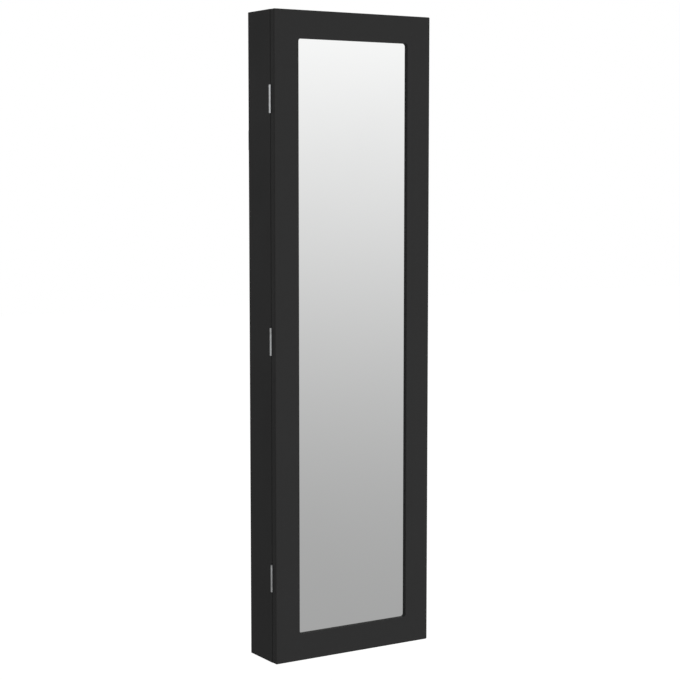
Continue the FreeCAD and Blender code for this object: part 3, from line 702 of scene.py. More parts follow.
@dataclass(frozen=True)
class PileCloth(Finish):
    """Velvet or felt: a short pile that catches the light at a slant.

    Attributes:
        colour: the pile brushed one way.
        raised: the pile brushed the other way.
        shaded: painted shade in the gaps between its tufts.
        painted_shade_share: how much of that shade shows.
        painted_shade_heights: the heights of the pile over which the shade fades out.
        roughness: roughness of the pile at its dullest.
        stroked: roughness where it is brushed flat.
        specular: how glossy its fibres are.
        sheen: how much light the fibres catch at a slant.
        sheen_roughness: how wide that light spreads.
        sheen_colour: its colour.
        tuft_scale: how fine the tufts are.
        tuft_depth: how long the pile is.
        tuft_strength: how much of it shows.
        stroke_scale: how fine the brushed strokes are.
        dust_scale: how fine the dust is.
        dust_share: how much the dust hides.
    """

    colour: Colour = (0.021, 0.021, 0.022)
    raised: Colour = (0.0245, 0.0245, 0.026)
    # Colour of the painted shade between the tufts
    shaded: Colour = (0.004, 0.004, 0.004)
    painted_shade_share: float = 0.35
    painted_shade_heights: Span = (0.2, 1.3)
    roughness: float = 0.92
    stroked: float = 0.8
    specular: float = 0.15
    sheen: float = 0.8
    sheen_roughness: float = 0.3
    sheen_colour: Colour = (0.62, 0.62, 0.65)
    tuft_scale: float = 2600.0
    tuft_depth: float = 0.12 * MM
    tuft_strength: float = 0.6
    stroke_scale: float = 110.0
    dust_scale: float = 140.0
    dust_share: float = 0.05

    def wire(self, graph: Graph) -> dict[str, Value]:
        """Draws the tufts, painted shade between them, the brushed strokes and a little dust.

        Args:
            graph: the material's graph.

        Returns:
            What each socket of the shader gets.
        """
        nap = Nap.on(graph, scale=self.tuft_scale, stroke_scale=self.stroke_scale)
        dust = Dust.on(graph, scale=self.dust_scale)["Mask"]
        cloth = graph.mix(nap["Stroke"], self.colour, self.raised)
        # Painted shade: the cloth darkens towards the shaded colour where the pile is low, between its tufts
        cloth = graph.mix(graph.fit(nap["Height"], self.painted_shade_heights, (self.painted_shade_share, 0.0)), cloth, self.shaded)
        return {
            "Base Color": graph.mix(graph.math("MULTIPLY", dust, self.dust_share), cloth, PALE_DUST),
            "Roughness": graph.fit(nap["Stroke"], FULL, (self.roughness, self.stroked)),
            "Specular IOR Level": self.specular,
            "Sheen Weight": self.sheen,
            "Sheen Roughness": self.sheen_roughness,
            "Sheen Tint": self.sheen_colour,
            "Normal": graph.bump(nap["Height"], self.tuft_strength, self.tuft_depth),
        }


@dataclass(frozen=True)
class FibreStuff(Finish):
    """Bare wood or pressed board, with its fibres showing.

    Attributes:
        light: the stuff between its fibres.
        dark: its fibres and flecks.
        fibre_share: how much darker the fibres are.
        fleck_share: how much darker the flecks are.
        smooth: roughness where it is smoothest.
        rough: roughness where it is dullest.
        specular: how glossy it is.
        run: the way that its fibres run.
        fibre_scale: how fine they are.
        fleck_scale: how fine the flecks are.
        fibre_depth: how deep the fibres are.
        fibre_strength: how much of that shows.
    """

    light: Colour = (0.3, 0.19, 0.11)
    dark: Colour = (0.17, 0.1, 0.055)
    fibre_share: float = 0.6
    fleck_share: float = 0.7
    smooth: float = 0.78
    rough: float = 0.9
    specular: float = 0.3
    run: Run = Run.EVEN
    fibre_scale: float = 900.0
    fleck_scale: float = 170.0
    fibre_depth: float = 0.05 * MM
    fibre_strength: float = 0.7

    def wire(self, graph: Graph) -> dict[str, Value]:
        """Draws the fibres and the darker flecks.

        Args:
            graph: the material's graph.

        Returns:
            What each socket of the shader gets.
        """
        fibres = Fibres.on(graph, scale=self.fibre_scale, run=self.run.value, fleck_scale=self.fleck_scale)
        darkened = graph.fit(fibres["Height"], MIDDLE, (0.0, self.fibre_share))
        body = graph.mix(darkened, self.light, self.dark)
        flecks = graph.math("MULTIPLY", fibres["Fleck"], self.fleck_share)
        return {
            "Base Color": graph.mix(flecks, body, self.dark),
            "Roughness": graph.fit(fibres["Height"], FULL, (self.smooth, self.rough)),
            "Specular IOR Level": self.specular,
            "Normal": graph.bump(fibres["Height"], self.fibre_strength, self.fibre_depth),
        }


@dataclass(frozen=True)
class Moulded(Finish):
    """A plain moulded or pressed stuff, such as plastic, rubber or ferrite.

    Attributes:
        colour: the stuff.
        worn: its worn edges.
        wear_share: how worn they are.
        wear_width: how wide they are.
        wear_patches: how fine their patches are.
        dust_scale: how fine the dust is.
        dust_share: how much the dust hides.
        smooth: roughness where it is smoothest.
        rough: roughness where it is dullest.
        specular: how glossy it is.
        drift_scale: how broad the changes of gloss are.
        grain_scale: how fine the mould's grain is.
        grain_depth: how deep it is.
        grain_strength: how much of it shows.
    """

    colour: Colour = (0.022, 0.022, 0.022)
    worn: Colour = (0.06, 0.06, 0.06)
    wear_share: float = 0.5
    wear_width: float = 0.3 * MM
    wear_patches: float = 150.0
    dust_scale: float = 200.0
    dust_share: float = 0.08
    smooth: float = 0.42
    rough: float = 0.58
    specular: float = 0.4
    drift_scale: float = 60.0
    grain_scale: float = 2200.0
    grain_depth: float = 0.03 * MM
    grain_strength: float = 0.5

    def wire(self, graph: Graph) -> dict[str, Value]:
        """Draws the mould's grain, the worn edges and a little dust.

        Args:
            graph: the material's graph.

        Returns:
            What each socket of the shader gets.
        """
        grain = Grain.on(graph, scale=self.grain_scale, drift_scale=self.drift_scale)
        wear = EdgeWear.on(graph, width=self.wear_width, patch_scale=self.wear_patches)["Mask"]
        dust = Dust.on(graph, scale=self.dust_scale)["Mask"]
        body = graph.mix(graph.math("MULTIPLY", wear, self.wear_share), self.colour, self.worn)
        return {
            "Base Color": graph.mix(graph.math("MULTIPLY", dust, self.dust_share), body, PALE_DUST),
            "Roughness": graph.fit(grain["Drift"], WIDE, (self.smooth, self.rough)),
            "Specular IOR Level": self.specular,
            "Normal": graph.bump(grain["Height"], self.grain_strength, self.grain_depth),
        }


PAINT = SatinPaint("satin_black_paint")
GLASS = SilveredGlass("silvered_glass")
ZINC = PlatedSteel("zinc_plate")
BARREL_ZINC = PlatedSteel("zinc_plate_barrel", run=Run.ALONG_Z)
CHROME = PlatedSteel(
    "polished_chrome", colour=(0.62, 0.62, 0.63), dulled=(0.58, 0.58, 0.59), polished=0.05, dull=0.11,
    grain_depth=0.002 * MM, wear_share=0.1,
)
NICKEL = PlatedSteel(
    "satin_nickel", colour=(0.52, 0.51, 0.49), dulled=(0.46, 0.45, 0.43), polished=0.3, dull=0.4,
    run=Run.ALONG_X,
)
HARDBOARD = FibreStuff(
    "hardboard", light=(0.34, 0.22, 0.13), dark=(0.12, 0.068, 0.036), fleck_scale=260.0,
)
BEECH = FibreStuff(
    "beech", light=(0.58, 0.42, 0.27), dark=(0.4, 0.26, 0.15), run=Run.ALONG_X, fleck_scale=700.0,
)
LINING = PileCloth("lining_velvet_pile")
ROLL = PileCloth(
    "roll_velvet_pile", colour=(0.034, 0.034, 0.036), raised=(0.045, 0.045, 0.048), sheen=1.0,
    sheen_roughness=0.25, tuft_scale=3000.0, stroke_scale=90.0,
)
POCKET = PileCloth(
    "pocket_velvet_pile", colour=(0.034, 0.034, 0.036), raised=(0.042, 0.042, 0.0445), sheen=1.0,
    sheen_roughness=0.25, stroke_scale=80.0,
)
ELASTIC = PileCloth("woven_elastic", colour=(0.04, 0.04, 0.042), raised=(0.05, 0.05, 0.052), sheen=0.3)
THREAD = PileCloth("sewing_thread", colour=(0.12, 0.12, 0.125), raised=(0.16, 0.16, 0.165), sheen=0.4)
FELT = PileCloth(
    "pressed_felt", colour=(0.035, 0.035, 0.035), raised=(0.065, 0.065, 0.065), sheen=0.25,
    tuft_scale=1500.0, tuft_depth=0.2 * MM, stroke_scale=300.0,
)
PLASTIC = Moulded("moulded_plastic")
RUBBER = Moulded(
    "matt_rubber", colour=(0.03, 0.03, 0.03), smooth=0.7, rough=0.85, specular=0.25, grain_scale=1400.0,
)
FERRITE = Moulded("sintered_ferrite", colour=(0.05, 0.05, 0.053), smooth=0.55, rough=0.75)


# Pieces


def linked(name: str, data: bpy.types.ID) -> bpy.types.Object:
    """Puts a mesh, a lamp or a camera in the scene.

    Args:
        name: the new object's name.
        data: its mesh, lamp or camera.

    Returns:
        The new object.
    """
    made = bpy.data.objects.new(name, data)
    bpy.context.scene.collection.objects.link(made)
    return made


def aimed(name: str, data: bpy.types.ID, place: Point, ahead: Vector) -> bpy.types.Object:
    """Puts a lamp or a camera in the scene and aims it.

    Args:
        name: the new object's name.
        data: the lamp or the camera.
        place: where it stands.
        ahead: the way that it points.

    Returns:
        The new object.
    """
    made = linked(name, data)
    made.location = place
    made.rotation_mode = "QUATERNION"
    made.rotation_quaternion = ahead.to_track_quat("-Z", "Y")
    return made


def grid_piece(name: str, points: np.ndarray, closed_across: bool = False) -> bpy.types.Object:
    """Makes an object from rows of points.

    Args:
        name: the object's name.
        points: places in metres, shaped (rows, points in a row, 3).
        closed_across: whether each row is a ring.

    Returns:
        The new object, smooth shaded and in the scene.
    """
    rows, count, axes = points.shape
    columns = count if closed_across else count - 1
    mesh = bpy.data.meshes.new(name)
    quads = []
    for i in range(rows - 1):
        here, above = i * count, (i + 1) * count
        for j in range(columns):
            k = (j + 1) % count
            quads.append((here + j, here + k, above + k, above + j))
    mesh.from_pydata(points.reshape(-1, axes).tolist(), [], quads)
    mesh.shade_smooth()
    return linked(name, mesh)


def closed(piece: bpy.types.Object) -> None:
    """Fills the open ends of a piece and turns every face outward.

    Args:
        piece: a mesh that is closed but for its ends.
    """
    edit = bmesh.new()
    edit.from_mesh(piece.data)
    bmesh.ops.holes_fill(edit, edges=[e for e in edit.edges if e.is_boundary], sides=0)
    bmesh.ops.recalc_face_normals(edit, faces=edit.faces)
    edit.to_mesh(piece.data)
    edit.free()
    piece.data.shade_smooth()


def settled(piece: bpy.types.Object) -> None:
    """Applies every modifier of a piece, so that its mesh is its final shape.

    Args:
        piece: the piece to change.
    """
    graph = bpy.context.evaluated_depsgraph_get()
    final = bpy.data.meshes.new_from_object(piece.evaluated_get(graph))
    piece.modifiers.clear()
    piece.data = final


def thickened(piece: bpy.types.Object, thickness: float) -> None:
    """Gives a single sheet of faces its thickness, half of it on each side.

    Args:
        piece: the sheet.
        thickness: its thickness.
    """
    modifier = piece.modifiers.new("thickness", "SOLIDIFY")
    modifier.thickness = thickness
    modifier.offset = 0.0
    settled(piece)
    closed(piece)


# Sub-assemblies

Finishes = dict[Finish, tuple[str, ...]]
EARRING_RAILS = 6


@dataclass
class SubAssembly:
    """Pieces of the cabinet that are made and finished together.

    Attributes:
        finishes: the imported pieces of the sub-assembly, by finish.
    """

    finishes: Finishes = field(default_factory=dict)

    def build(self) -> list[bpy.types.Object]:
        """Makes the sub-assembly's own meshes. Most have none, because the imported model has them."""
        return []

    def dress(self) -> int:
        """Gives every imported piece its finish.

        Returns:
            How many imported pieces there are.
        """
        for finish, names in self.finishes.items():
            for name in names:
                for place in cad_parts[name].material_slots:
                    place.material = finish.material()
                log.info("%s: %s", name, finish.name)
        return sum(len(names) for names in self.finishes.values())


@dataclass
class Case(SubAssembly):
    """The four boards with their dowels, the back and its lining."""

    finishes: Finishes = field(default_factory=lambda: {
        PAINT: ("side_panel_left", "side_panel_right", "top_panel", "bottom_panel"),
        HARDBOARD: ("back_panel",),
        LINING: ("back_lining",),
        BEECH: ("corner_dowels",),
    })


@dataclass
class Shelving(SubAssembly):
    """The shelves, their dowels and the rods in front of them."""

    finishes: Finishes = field(default_factory=lambda: {
        PAINT: ("shelf_lower", "shelf_middle", "shelf_upper"),
        BEECH: ("shelf_dowels",),
        CHROME: ("guard_rods",),
    })


@dataclass
class NecklaceRail(SubAssembly):
    """The rail across the top of the case, with its hooks."""

    finishes: Finishes = field(default_factory=lambda: {
        PAINT: ("necklace_rail",),
        BEECH: ("necklace_rail_dowels",),
        CHROME: ("necklace_hooks",),
    })


@dataclass
class WallHangers(SubAssembly):
    """The keyhole plates, their screws and the pads at the foot."""

    finishes: Finishes = field(default_factory=lambda: {
        ZINC: ("hanger_plate_left", "hanger_plate_right", "hanger_screws"),
        RUBBER: ("wall_pads",),
    })


@dataclass
class Hinges(SubAssembly):
    """The three butt hinges and all their screws."""

    finishes: Finishes = field(default_factory=lambda: {
        BARREL_ZINC: tuple(
            part + place
            for part in ("hinge_case_leaf_", "hinge_door_leaf_", "hinge_pin_")
            for place in ("bottom", "middle", "top")
        ),
        ZINC: ("hinge_case_screws", "hinge_door_screws"),
    })


@dataclass
class Catch(SubAssembly):
    """The magnetic catch, its strike plate and the felt buffers."""

    finishes: Finishes = field(default_factory=lambda: {
        PLASTIC: ("catch_housing",),
        FERRITE: ("catch_magnet",),
        ZINC: ("catch_poles", "catch_screws", "strike_plate", "strike_screw"),
        FELT: ("door_buffers",),
    })


@dataclass
class MirrorDoor(SubAssembly):
    """The door board with its mirror, backing, lining and clips."""

    finishes: Finishes = field(default_factory=lambda: {
        PAINT: ("door_frame",),
        GLASS: ("mirror_glass",),
        HARDBOARD: ("mirror_backing",),
        LINING: ("door_lining",),
        ZINC: ("mirror_clips", "mirror_clip_screws"),
    })


@dataclass
class EarringRack(SubAssembly):
    """The six earring rails on their posts."""

    finishes: Finishes = field(default_factory=lambda: {
        NICKEL: tuple(f"earring_rail_{row + 1}" for row in range(EARRING_RAILS)) + ("earring_rail_posts",),
        ZINC: ("earring_rail_screws",),
    })


@dataclass
class BraceletStrip(SubAssembly):
    """The strip of bracelet hooks below the earring rails."""

    finishes: Finishes = field(default_factory=lambda: {
        PAINT: ("bracelet_strip",),
        CHROME: ("bracelet_hooks",),
        NICKEL: ("bracelet_strip_posts",),
        ZINC: ("bracelet_strip_screws",),
    })


@dataclass
class RingTray(SubAssembly):
    """The ring tray with its six rolls of velvet over foam.

    Attributes:
        rolls: how many rolls the tray holds.
        fill: how tightly they are stuffed; not used.
        squeeze: how much flatter a roll is where it presses on the next.
        squeeze_power: how near to the next roll that flat stays.
        end_length: how long the tucked end of a roll is.
        end_power: how square that end is.
        end_share: the smallest share of the radius, where the end is closed.
        pleats: how many folds the velvet has where it is tucked in.
        pleat_depth: how deep those folds are, as a share of the radius.
        unevenness: how far the foam stands from a true round.
        bumps: how many dents and bumps a metre of foam has.
        across: points round a roll.
        along: rings along its straight part.
        end_rings: rings over each end.
    """

    finishes: Finishes = field(default_factory=lambda: {
        PAINT: ("ring_tray",),
        ZINC: ("ring_tray_screws",),
    })
    rolls: int = 6
    fill: float = 0.85
    squeeze: float = 0.06
    squeeze_power: int = 6
    end_length: float = 3.2 * MM
    end_power: float = 0.7
    end_share: float = 0.05
    pleats: int = 13
    pleat_depth: float = 0.055
    unevenness: float = 0.14 * MM
    bumps: float = 40.0
    across: int = 64
    along: int = 90
    end_rings: int = 9

    def build(self) -> list[bpy.types.Object]:
        """Makes the rolls in the place of their plain solids.

        Returns:
            The six rolls, from the lowest up.
        """
        low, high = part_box("ring_rolls")
        radius = (high.y - low.y) / 2
        pitch = (high.z - low.z - 2 * radius) / (self.rolls - 1)
        made = []
        for i in range(self.rolls):
            centre = Vector(((low.x + high.x) / 2, (low.y + high.y) / 2, low.z + radius + i * pitch))
            points = self.roll_points(centre, radius, high.x - low.x, seed=i)
            roll = grid_piece(f"ring_roll_{i + 1}", points, closed_across=True)
            closed(roll)
            roll.data.materials.append(ROLL.material())
            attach(roll, Body.CASE.value)
            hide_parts("ring_rolls")
            made.append(roll)
        return made

    def stations(self, length: float) -> list[tuple[float, float]]:
        """Divides a roll into rings.

        Args:
            length: the roll's length.

        Returns:
            Each ring's place along the roll, with the share of the full radius that it has there.
        """
        straight = length / 2 - self.end_length
        turns = [math.pi / 2 * i / self.end_rings for i in range(self.end_rings)]
        left = [(-straight - self.end_length * math.cos(t), math.sin(t) ** self.end_power) for t in turns]
        middle = [(-straight + 2 * straight * i / self.along, 1.0) for i in range(self.along + 1)]
        right = [(-x, share) for x, share in reversed(left)]
        return [(x, max(share, self.end_share)) for x, share in left + middle + right]

    def roll_points(self, centre: Vector, radius: float, length: float, seed: int) -> np.ndarray:
        """Places the points of one roll.

        Args:
            centre: the roll's middle.
            radius: its full radius.
            length: its length.
            seed: makes its unevenness its own.

        Returns:
            Rings of points from its left end to its right end.
        """
        rings = []
        for x, share in self.stations(length):
            ring = []
            for j in range(self.across):
                angle = 2 * math.pi * j / self.across
                reach = self.reach_at(x, angle, share, radius, seed)
                ring.append(centre + Vector((x, reach * math.cos(angle), reach * math.sin(angle))))
            rings.append([tuple(point) for point in ring])
        return np.array(rings)

    def reach_at(self, x: float, angle: float, share: float, radius: float, seed: int) -> float:
        """Works out how far the velvet is from the middle line of its roll.

        Args:
            x: the place along the roll.
            angle: the place round it.
            share: the share of the full radius there.
            radius: the full radius.
            seed: makes the roll's unevenness its own.

        Returns:
            The distance in metres.
        """
        pressed = 1 - self.squeeze * abs(math.sin(angle)) ** self.squeeze_power
        tucked = (1 - share) ** 0.5
        folds = 1 - self.pleat_depth * tucked * (1 + math.cos(self.pleats * angle + seed))
        place = Vector((x * self.bumps, math.cos(angle) + self.rolls * seed, math.sin(angle)))
        uneven = self.unevenness * (noise.noise(place) - 0.5)
        return radius * share * pressed * folds + uneven * share


@dataclass
class Pocket(SubAssembly):
    """The gathered velvet pocket inside the door, with its elastic hem and its stitches.

    Attributes:
        cloth_thickness: thickness of the velvet.
        gathers: how many gathers the elastic draws up.
        gather_depth: how far a gather stands out under the hem.
        gather_fall: the share of the height over which the gathers die out.
        foot_gather: how far a gather stands out where it is sewn at the foot.
        foot_fall: the share of the height over which the foot's gathers die out.
        rest_gather: the share of a gather that is left between mouth and foot.
        fold_drift: how far a gather wanders from its even place, in radians.
        drift_waves: how many half waves the two parts of that wandering have across the pocket.
        drift_start: where the first part starts.
        drift_share: how strong the second part is.
        wander_scale: how fine the uneven part of the wandering is, across the pocket and up it.
        wander_seed: makes it this pocket's own.
        side_ease: the share of the width at each side that lies without gathers.
        belly_height: the share of the height at which the pocket is fullest.
        side_power: how square the pocket's fullness is from side to side.
        foot_power: how square it is above the foot.
        mouth_power: how late it draws in towards the mouth.
        mouth_share: how far out the mouth is held, as a share of the pocket's depth.
        mouth_sag: how far the middle of the mouth hangs down.
        free_share: the share of the depth from which the gathers are at their full height.
        seat: how far the sewn edge is from the lining at least.
        columns: points across the pocket.
        rows: points up it.
        seam_slack: how far the cloth stands from the flange where it is still sewn down.
        frames: frames that the cloth is let fall for.
        quality: steps of the fall in each frame.
        mass: weight of the velvet, in kilograms to a square metre.
        tension: how much it resists being pulled.
        compression: how much it resists being pushed together.
        bending: how much it resists being bent.
        ease: how much longer it is cut than its first shape, as a share less than 0.
        reach: the furthest that a point may move while it falls.
        hem_rows: rows of the cloth that the hem holds.
        hem_height: height of the elastic hem.
        hem_thickness: thickness of the elastic.
        hem_steps: rows of points up the hem.
        hem_proud: how proud the hem's edges are of the velvet's middle, in thicknesses of the velvet.
        hem_crown: how much prouder the hem is at half its height, in thicknesses of the velvet.
        flange: how wide the flat margin is that is sewn to the door.
        seam_margin: how far the stitches are from the pocket's edge.
        stitch_pitch: length of a stitch with its gap.
        stitch_radius: radius of the thread.
        stitch_length: length of a stitch, in thicknesses of the thread.
        stitch_rise: how far the thread stands from the lining.
        stitch_rings: points round a stitch, and rings along it.
    """

    cloth_thickness: float = 0.9 * MM
    gathers: int = 17
    gather_depth: float = 1.9 * MM
    gather_fall: float = 0.42
    foot_gather: float = 0.6 * MM
    foot_fall: float = 0.14
    rest_gather: float = 0.3
    fold_drift: float = 0.9
    drift_waves: Span = (2.3, 7.1)
    drift_start: float = 0.6
    drift_share: float = 0.55
    wander_scale: Span = (6.0, 1.7)
    wander_seed: float = 3.1
    side_ease: float = 0.03
    belly_height: float = 0.42
    side_power: float = 0.42
    foot_power: float = 0.75
    mouth_power: float = 1.6
    mouth_share: float = 0.72
    mouth_sag: float = 2.2 * MM
    free_share: float = 0.15
    seat: float = 0.5 * MM
    columns: int = 211
    rows: int = 71
    seam_slack: float = 0.01 * MM
    frames: int = 22
    quality: int = 6
    mass: float = 0.25
    tension: float = 12.0
    compression: float = 8.0
    bending: float = 0.4
    ease: float = -0.035
    reach: float = 4.0 * MM
    hem_rows: int = 4
    hem_height: float = 9.0 * MM
    hem_thickness: float = 0.7 * MM
    hem_steps: int = 9
    hem_proud: float = 0.75
    hem_crown: float = 0.45
    flange: float = 5.0 * MM
    seam_margin: float = 2.6 * MM
    stitch_pitch: float = 3.2 * MM
    stitch_radius: float = 0.28 * MM
    stitch_length: float = 4.2
    stitch_rise: float = 1.3 * MM
    stitch_rings: tuple[int, int] = (8, 6)

    def build(self) -> list[bpy.types.Object]:
        """Makes the pocket, its hem and its stitches in the place of the plain solid.

        Returns:
            The three pieces.
        """
        low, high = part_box("door_pocket")
        points = self.front_points(low, high)
        cloth = grid_piece("door_pocket_cloth", points)
        self.let_fall(cloth, low, high)
        thickened(cloth, self.cloth_thickness)
        hem = self.hem(points)
        stitches = self.stitches(low, high)
        for piece, finish in ((cloth, POCKET), (hem, ELASTIC), (stitches, THREAD)):
            piece.data.materials.append(finish.material())
            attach(piece, Body.DOOR.value)
        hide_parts("door_pocket")
        return [cloth, hem, stitches]

    def depth_at(self, u: float, v: float) -> float:
        """Works out how far out the cloth is, as a share of the pocket's depth.

        Args:
            u: from 0 at the left edge to 1 at the right.
            v: from 0 at the foot to 1 at the mouth.

        Returns:
            A share from 0, at the edges that are sewn down, to 1.
        """
        across = math.sin(math.pi * u) ** self.side_power if 0 < u < 1 else 0.0
        rise = math.sin(math.pi / 2 * min(1.0, v / self.belly_height)) ** self.foot_power
        above = max(0.0, v - self.belly_height) / (1 - self.belly_height)
        return across * rise * (1.0 - (1 - self.mouth_share) * above ** self.mouth_power)

    def gather_at(self, u: float, v: float) -> float:
        """Works out how far the gathers push the cloth out or in.

        Args:
            u: from 0 at the left edge to 1 at the right.
            v: from 0 at the foot to 1 at the mouth.

        Returns:
            The distance in metres, less than 0 where the cloth goes in.
        """
        slow, quick = (waves * math.pi * u for waves in self.drift_waves)
        drift = math.sin(slow + self.drift_start) + self.drift_share * math.sin(quick)
        across, up = self.wander_scale
        wander = noise.noise(Vector((across * u, up * v, self.wander_seed)))
        wave = math.cos(2 * math.pi * self.gathers * u + self.fold_drift * (drift + wander))
        fade = min(1.0, u / self.side_ease, (1 - u) / self.side_ease)
        mouth = self.gather_depth * math.exp(-(1 - v) / self.gather_fall)
        foot = self.foot_gather * math.exp(-v / self.foot_fall)
        return wave * fade * (mouth + foot + self.rest_gather * self.gather_depth)

    def front_points(self, low: Vector, high: Vector) -> np.ndarray:
        """Places the points of the gathered cloth between the corners of the plain solid.

        Args:
            low: the solid's lowest corner.
            high: its highest corner.

        Returns:
            Rows of points from the foot to the mouth.
        """
        depth = high.y - low.y - 2 * (self.gather_depth + self.cloth_thickness)
        width, height = high.x - low.x, high.z - low.z
        rows = []
        for i in range(self.rows):
            v = i / (self.rows - 1)
            row = []
            for j in range(self.columns):
                u = j / (self.columns - 1)
                inner_u = (u * width - self.flange) / (width - 2 * self.flange)
                inner_v = (v * height - self.flange) / (height - self.flange)
                share = self.depth_at(min(1.0, max(0.0, inner_u)), max(0.0, inner_v))
                free = min(1.0, share / self.free_share)
                out = low.y + self.cloth_thickness + depth * share + self.gather_at(u, v) * free
                sag = self.mouth_sag * math.sin(math.pi * u) * v * v
                row.append((low.x + u * width, max(out, low.y + self.seat), low.z + v * height - sag))
            rows.append(row)
        return np.array(rows)

    def cut_size(self, points: np.ndarray) -> tuple[float, float]:
        """Measures the flat cloth that the pocket was gathered from.

        Args:
            points: rows of points from the foot to the mouth.

        Returns:
            The cloth's width and length.
        """
        across = np.linalg.norm(np.diff(points, axis=1), axis=2).sum(axis=1).max()
        up = np.linalg.norm(np.diff(points, axis=0), axis=2).sum(axis=0).max()
        return float(across), float(up)

    def let_fall(self, cloth: bpy.types.Object, low: Vector, high: Vector) -> None:
        """Lets the cloth settle under its weight, sewn at its edges and held by its hem.

        Args:
            cloth: the gathered cloth, which gets its settled shape.
            low: lowest corner of the space that it stays in.
            high: highest corner of that space.
        """
        start = np.array([v.co for v in cloth.data.vertices])
        group = cloth.vertex_groups.new(name="sewn")
        sewn = start[:, 1] < low.y + self.cloth_thickness + self.seam_slack
        under_hem = np.arange(len(start)) >= (self.rows - self.hem_rows) * self.columns
        group.add(np.flatnonzero(sewn | under_hem).tolist(), 1.0, "REPLACE")
        modifier = cloth.modifiers.new("fall", "CLOTH")
        modifier.settings.vertex_group_mass = group.name
        modifier.settings.quality = self.quality
        modifier.settings.mass = self.mass
        modifier.settings.tension_stiffness = self.tension
        modifier.settings.compression_stiffness = self.compression
        modifier.settings.bending_stiffness = self.bending
        modifier.settings.shrink_min = self.ease
        modifier.collision_settings.use_collision = False
        modifier.point_cache.frame_end = self.frames
        for shown in range(1, self.frames + 1):
            bpy.context.scene.frame_set(shown)
        settled(cloth)
        bpy.context.scene.frame_set(1)
        moved = np.array([v.co for v in cloth.data.vertices]) - start
        far = np.linalg.norm(moved, axis=1, keepdims=True)
        kept = start + moved * np.minimum(1.0, self.reach / np.maximum(far, MM * MM))
        inner = np.array(low) + OUT_OF_DOOR * self.cloth_thickness / 2
        outer = np.array(high) - OUT_OF_DOOR * self.cloth_thickness
        cloth.data.vertices.foreach_set("co", np.clip(kept, inner, outer).astype(np.float32).ravel())
        cloth.data.update()

    def hem(self, points: np.ndarray) -> bpy.types.Object:
        """Makes the elastic tape that is sewn over the gathered mouth.

        Args:
            points: rows of the cloth's points, the last one at the mouth.

        Returns:
            The tape.
        """
        row_height = points[-1, 0, 2] - points[-2, 0, 2]
        under = points[-round(self.hem_height / row_height)]
        rows = []
        for i in range(self.hem_steps):
            share = i / (self.hem_steps - 1)
            proud = self.cloth_thickness * (self.hem_proud + self.hem_crown * math.sin(math.pi * share))
            rows.append(under + (points[-1] - under) * share + OUT_OF_DOOR * proud)
        piece = grid_piece("door_pocket_hem", np.array(rows))
        thickened(piece, self.hem_thickness)
        return piece

    def stitches(self, low: Vector, high: Vector) -> bpy.types.Object:
        """Makes the row of stitches that holds the pocket's sides and foot to the door.

        Args:
            low: lowest corner of the pocket.
            high: its highest corner.

        Returns:
            All the stitches as one piece.
        """
        left, right, foot = low.x + self.seam_margin, high.x - self.seam_margin, low.z + self.seam_margin
        top = high.z - self.hem_height
        corners = [Vector((x, low.y, z)) for x, z in ((left, top), (left, foot), (right, foot), (right, top))]
        edit = bmesh.new()
        for start, end in zip(corners, corners[1:]):
            along = end - start
            count = int(along.length / self.stitch_pitch)
            for i in range(count):
                self.add_stitch(edit, start + along * ((i + 0.5) / count), along.normalized())
        # Each run of Blender orders a ball's faces anew, so they are sorted here
        edit.verts.index_update()
        faces = sorted(tuple(vertex.index for vertex in face.verts) for face in edit.faces)
        mesh = bpy.data.meshes.new("door_pocket_stitches")
        mesh.from_pydata([vertex.co for vertex in edit.verts], [], faces)
        edit.free()
        mesh.shade_smooth()
        return linked("door_pocket_stitches", mesh)

    def add_stitch(self, edit: bmesh.types.BMesh, centre: Vector, direction: Vector) -> None:
        """Adds one stitch, a short thread that dips into the cloth at both ends.

        Args:
            edit: the mesh that it goes into.
            centre: its middle, on the lining.
            direction: the way that it runs.
        """
        round_it, along_it = self.stitch_rings
        made = bmesh.ops.create_uvsphere(
            edit, u_segments=round_it, v_segments=along_it, radius=self.stitch_radius
        )
        aside = direction.cross(OUT_OF_DOOR)
        for vertex in made["verts"]:
            length, out, across = vertex.co
            along = direction * (length * self.stitch_length)
            vertex.co = centre + along + OUT_OF_DOOR * (out + self.stitch_rise) + aside * across


# Studio


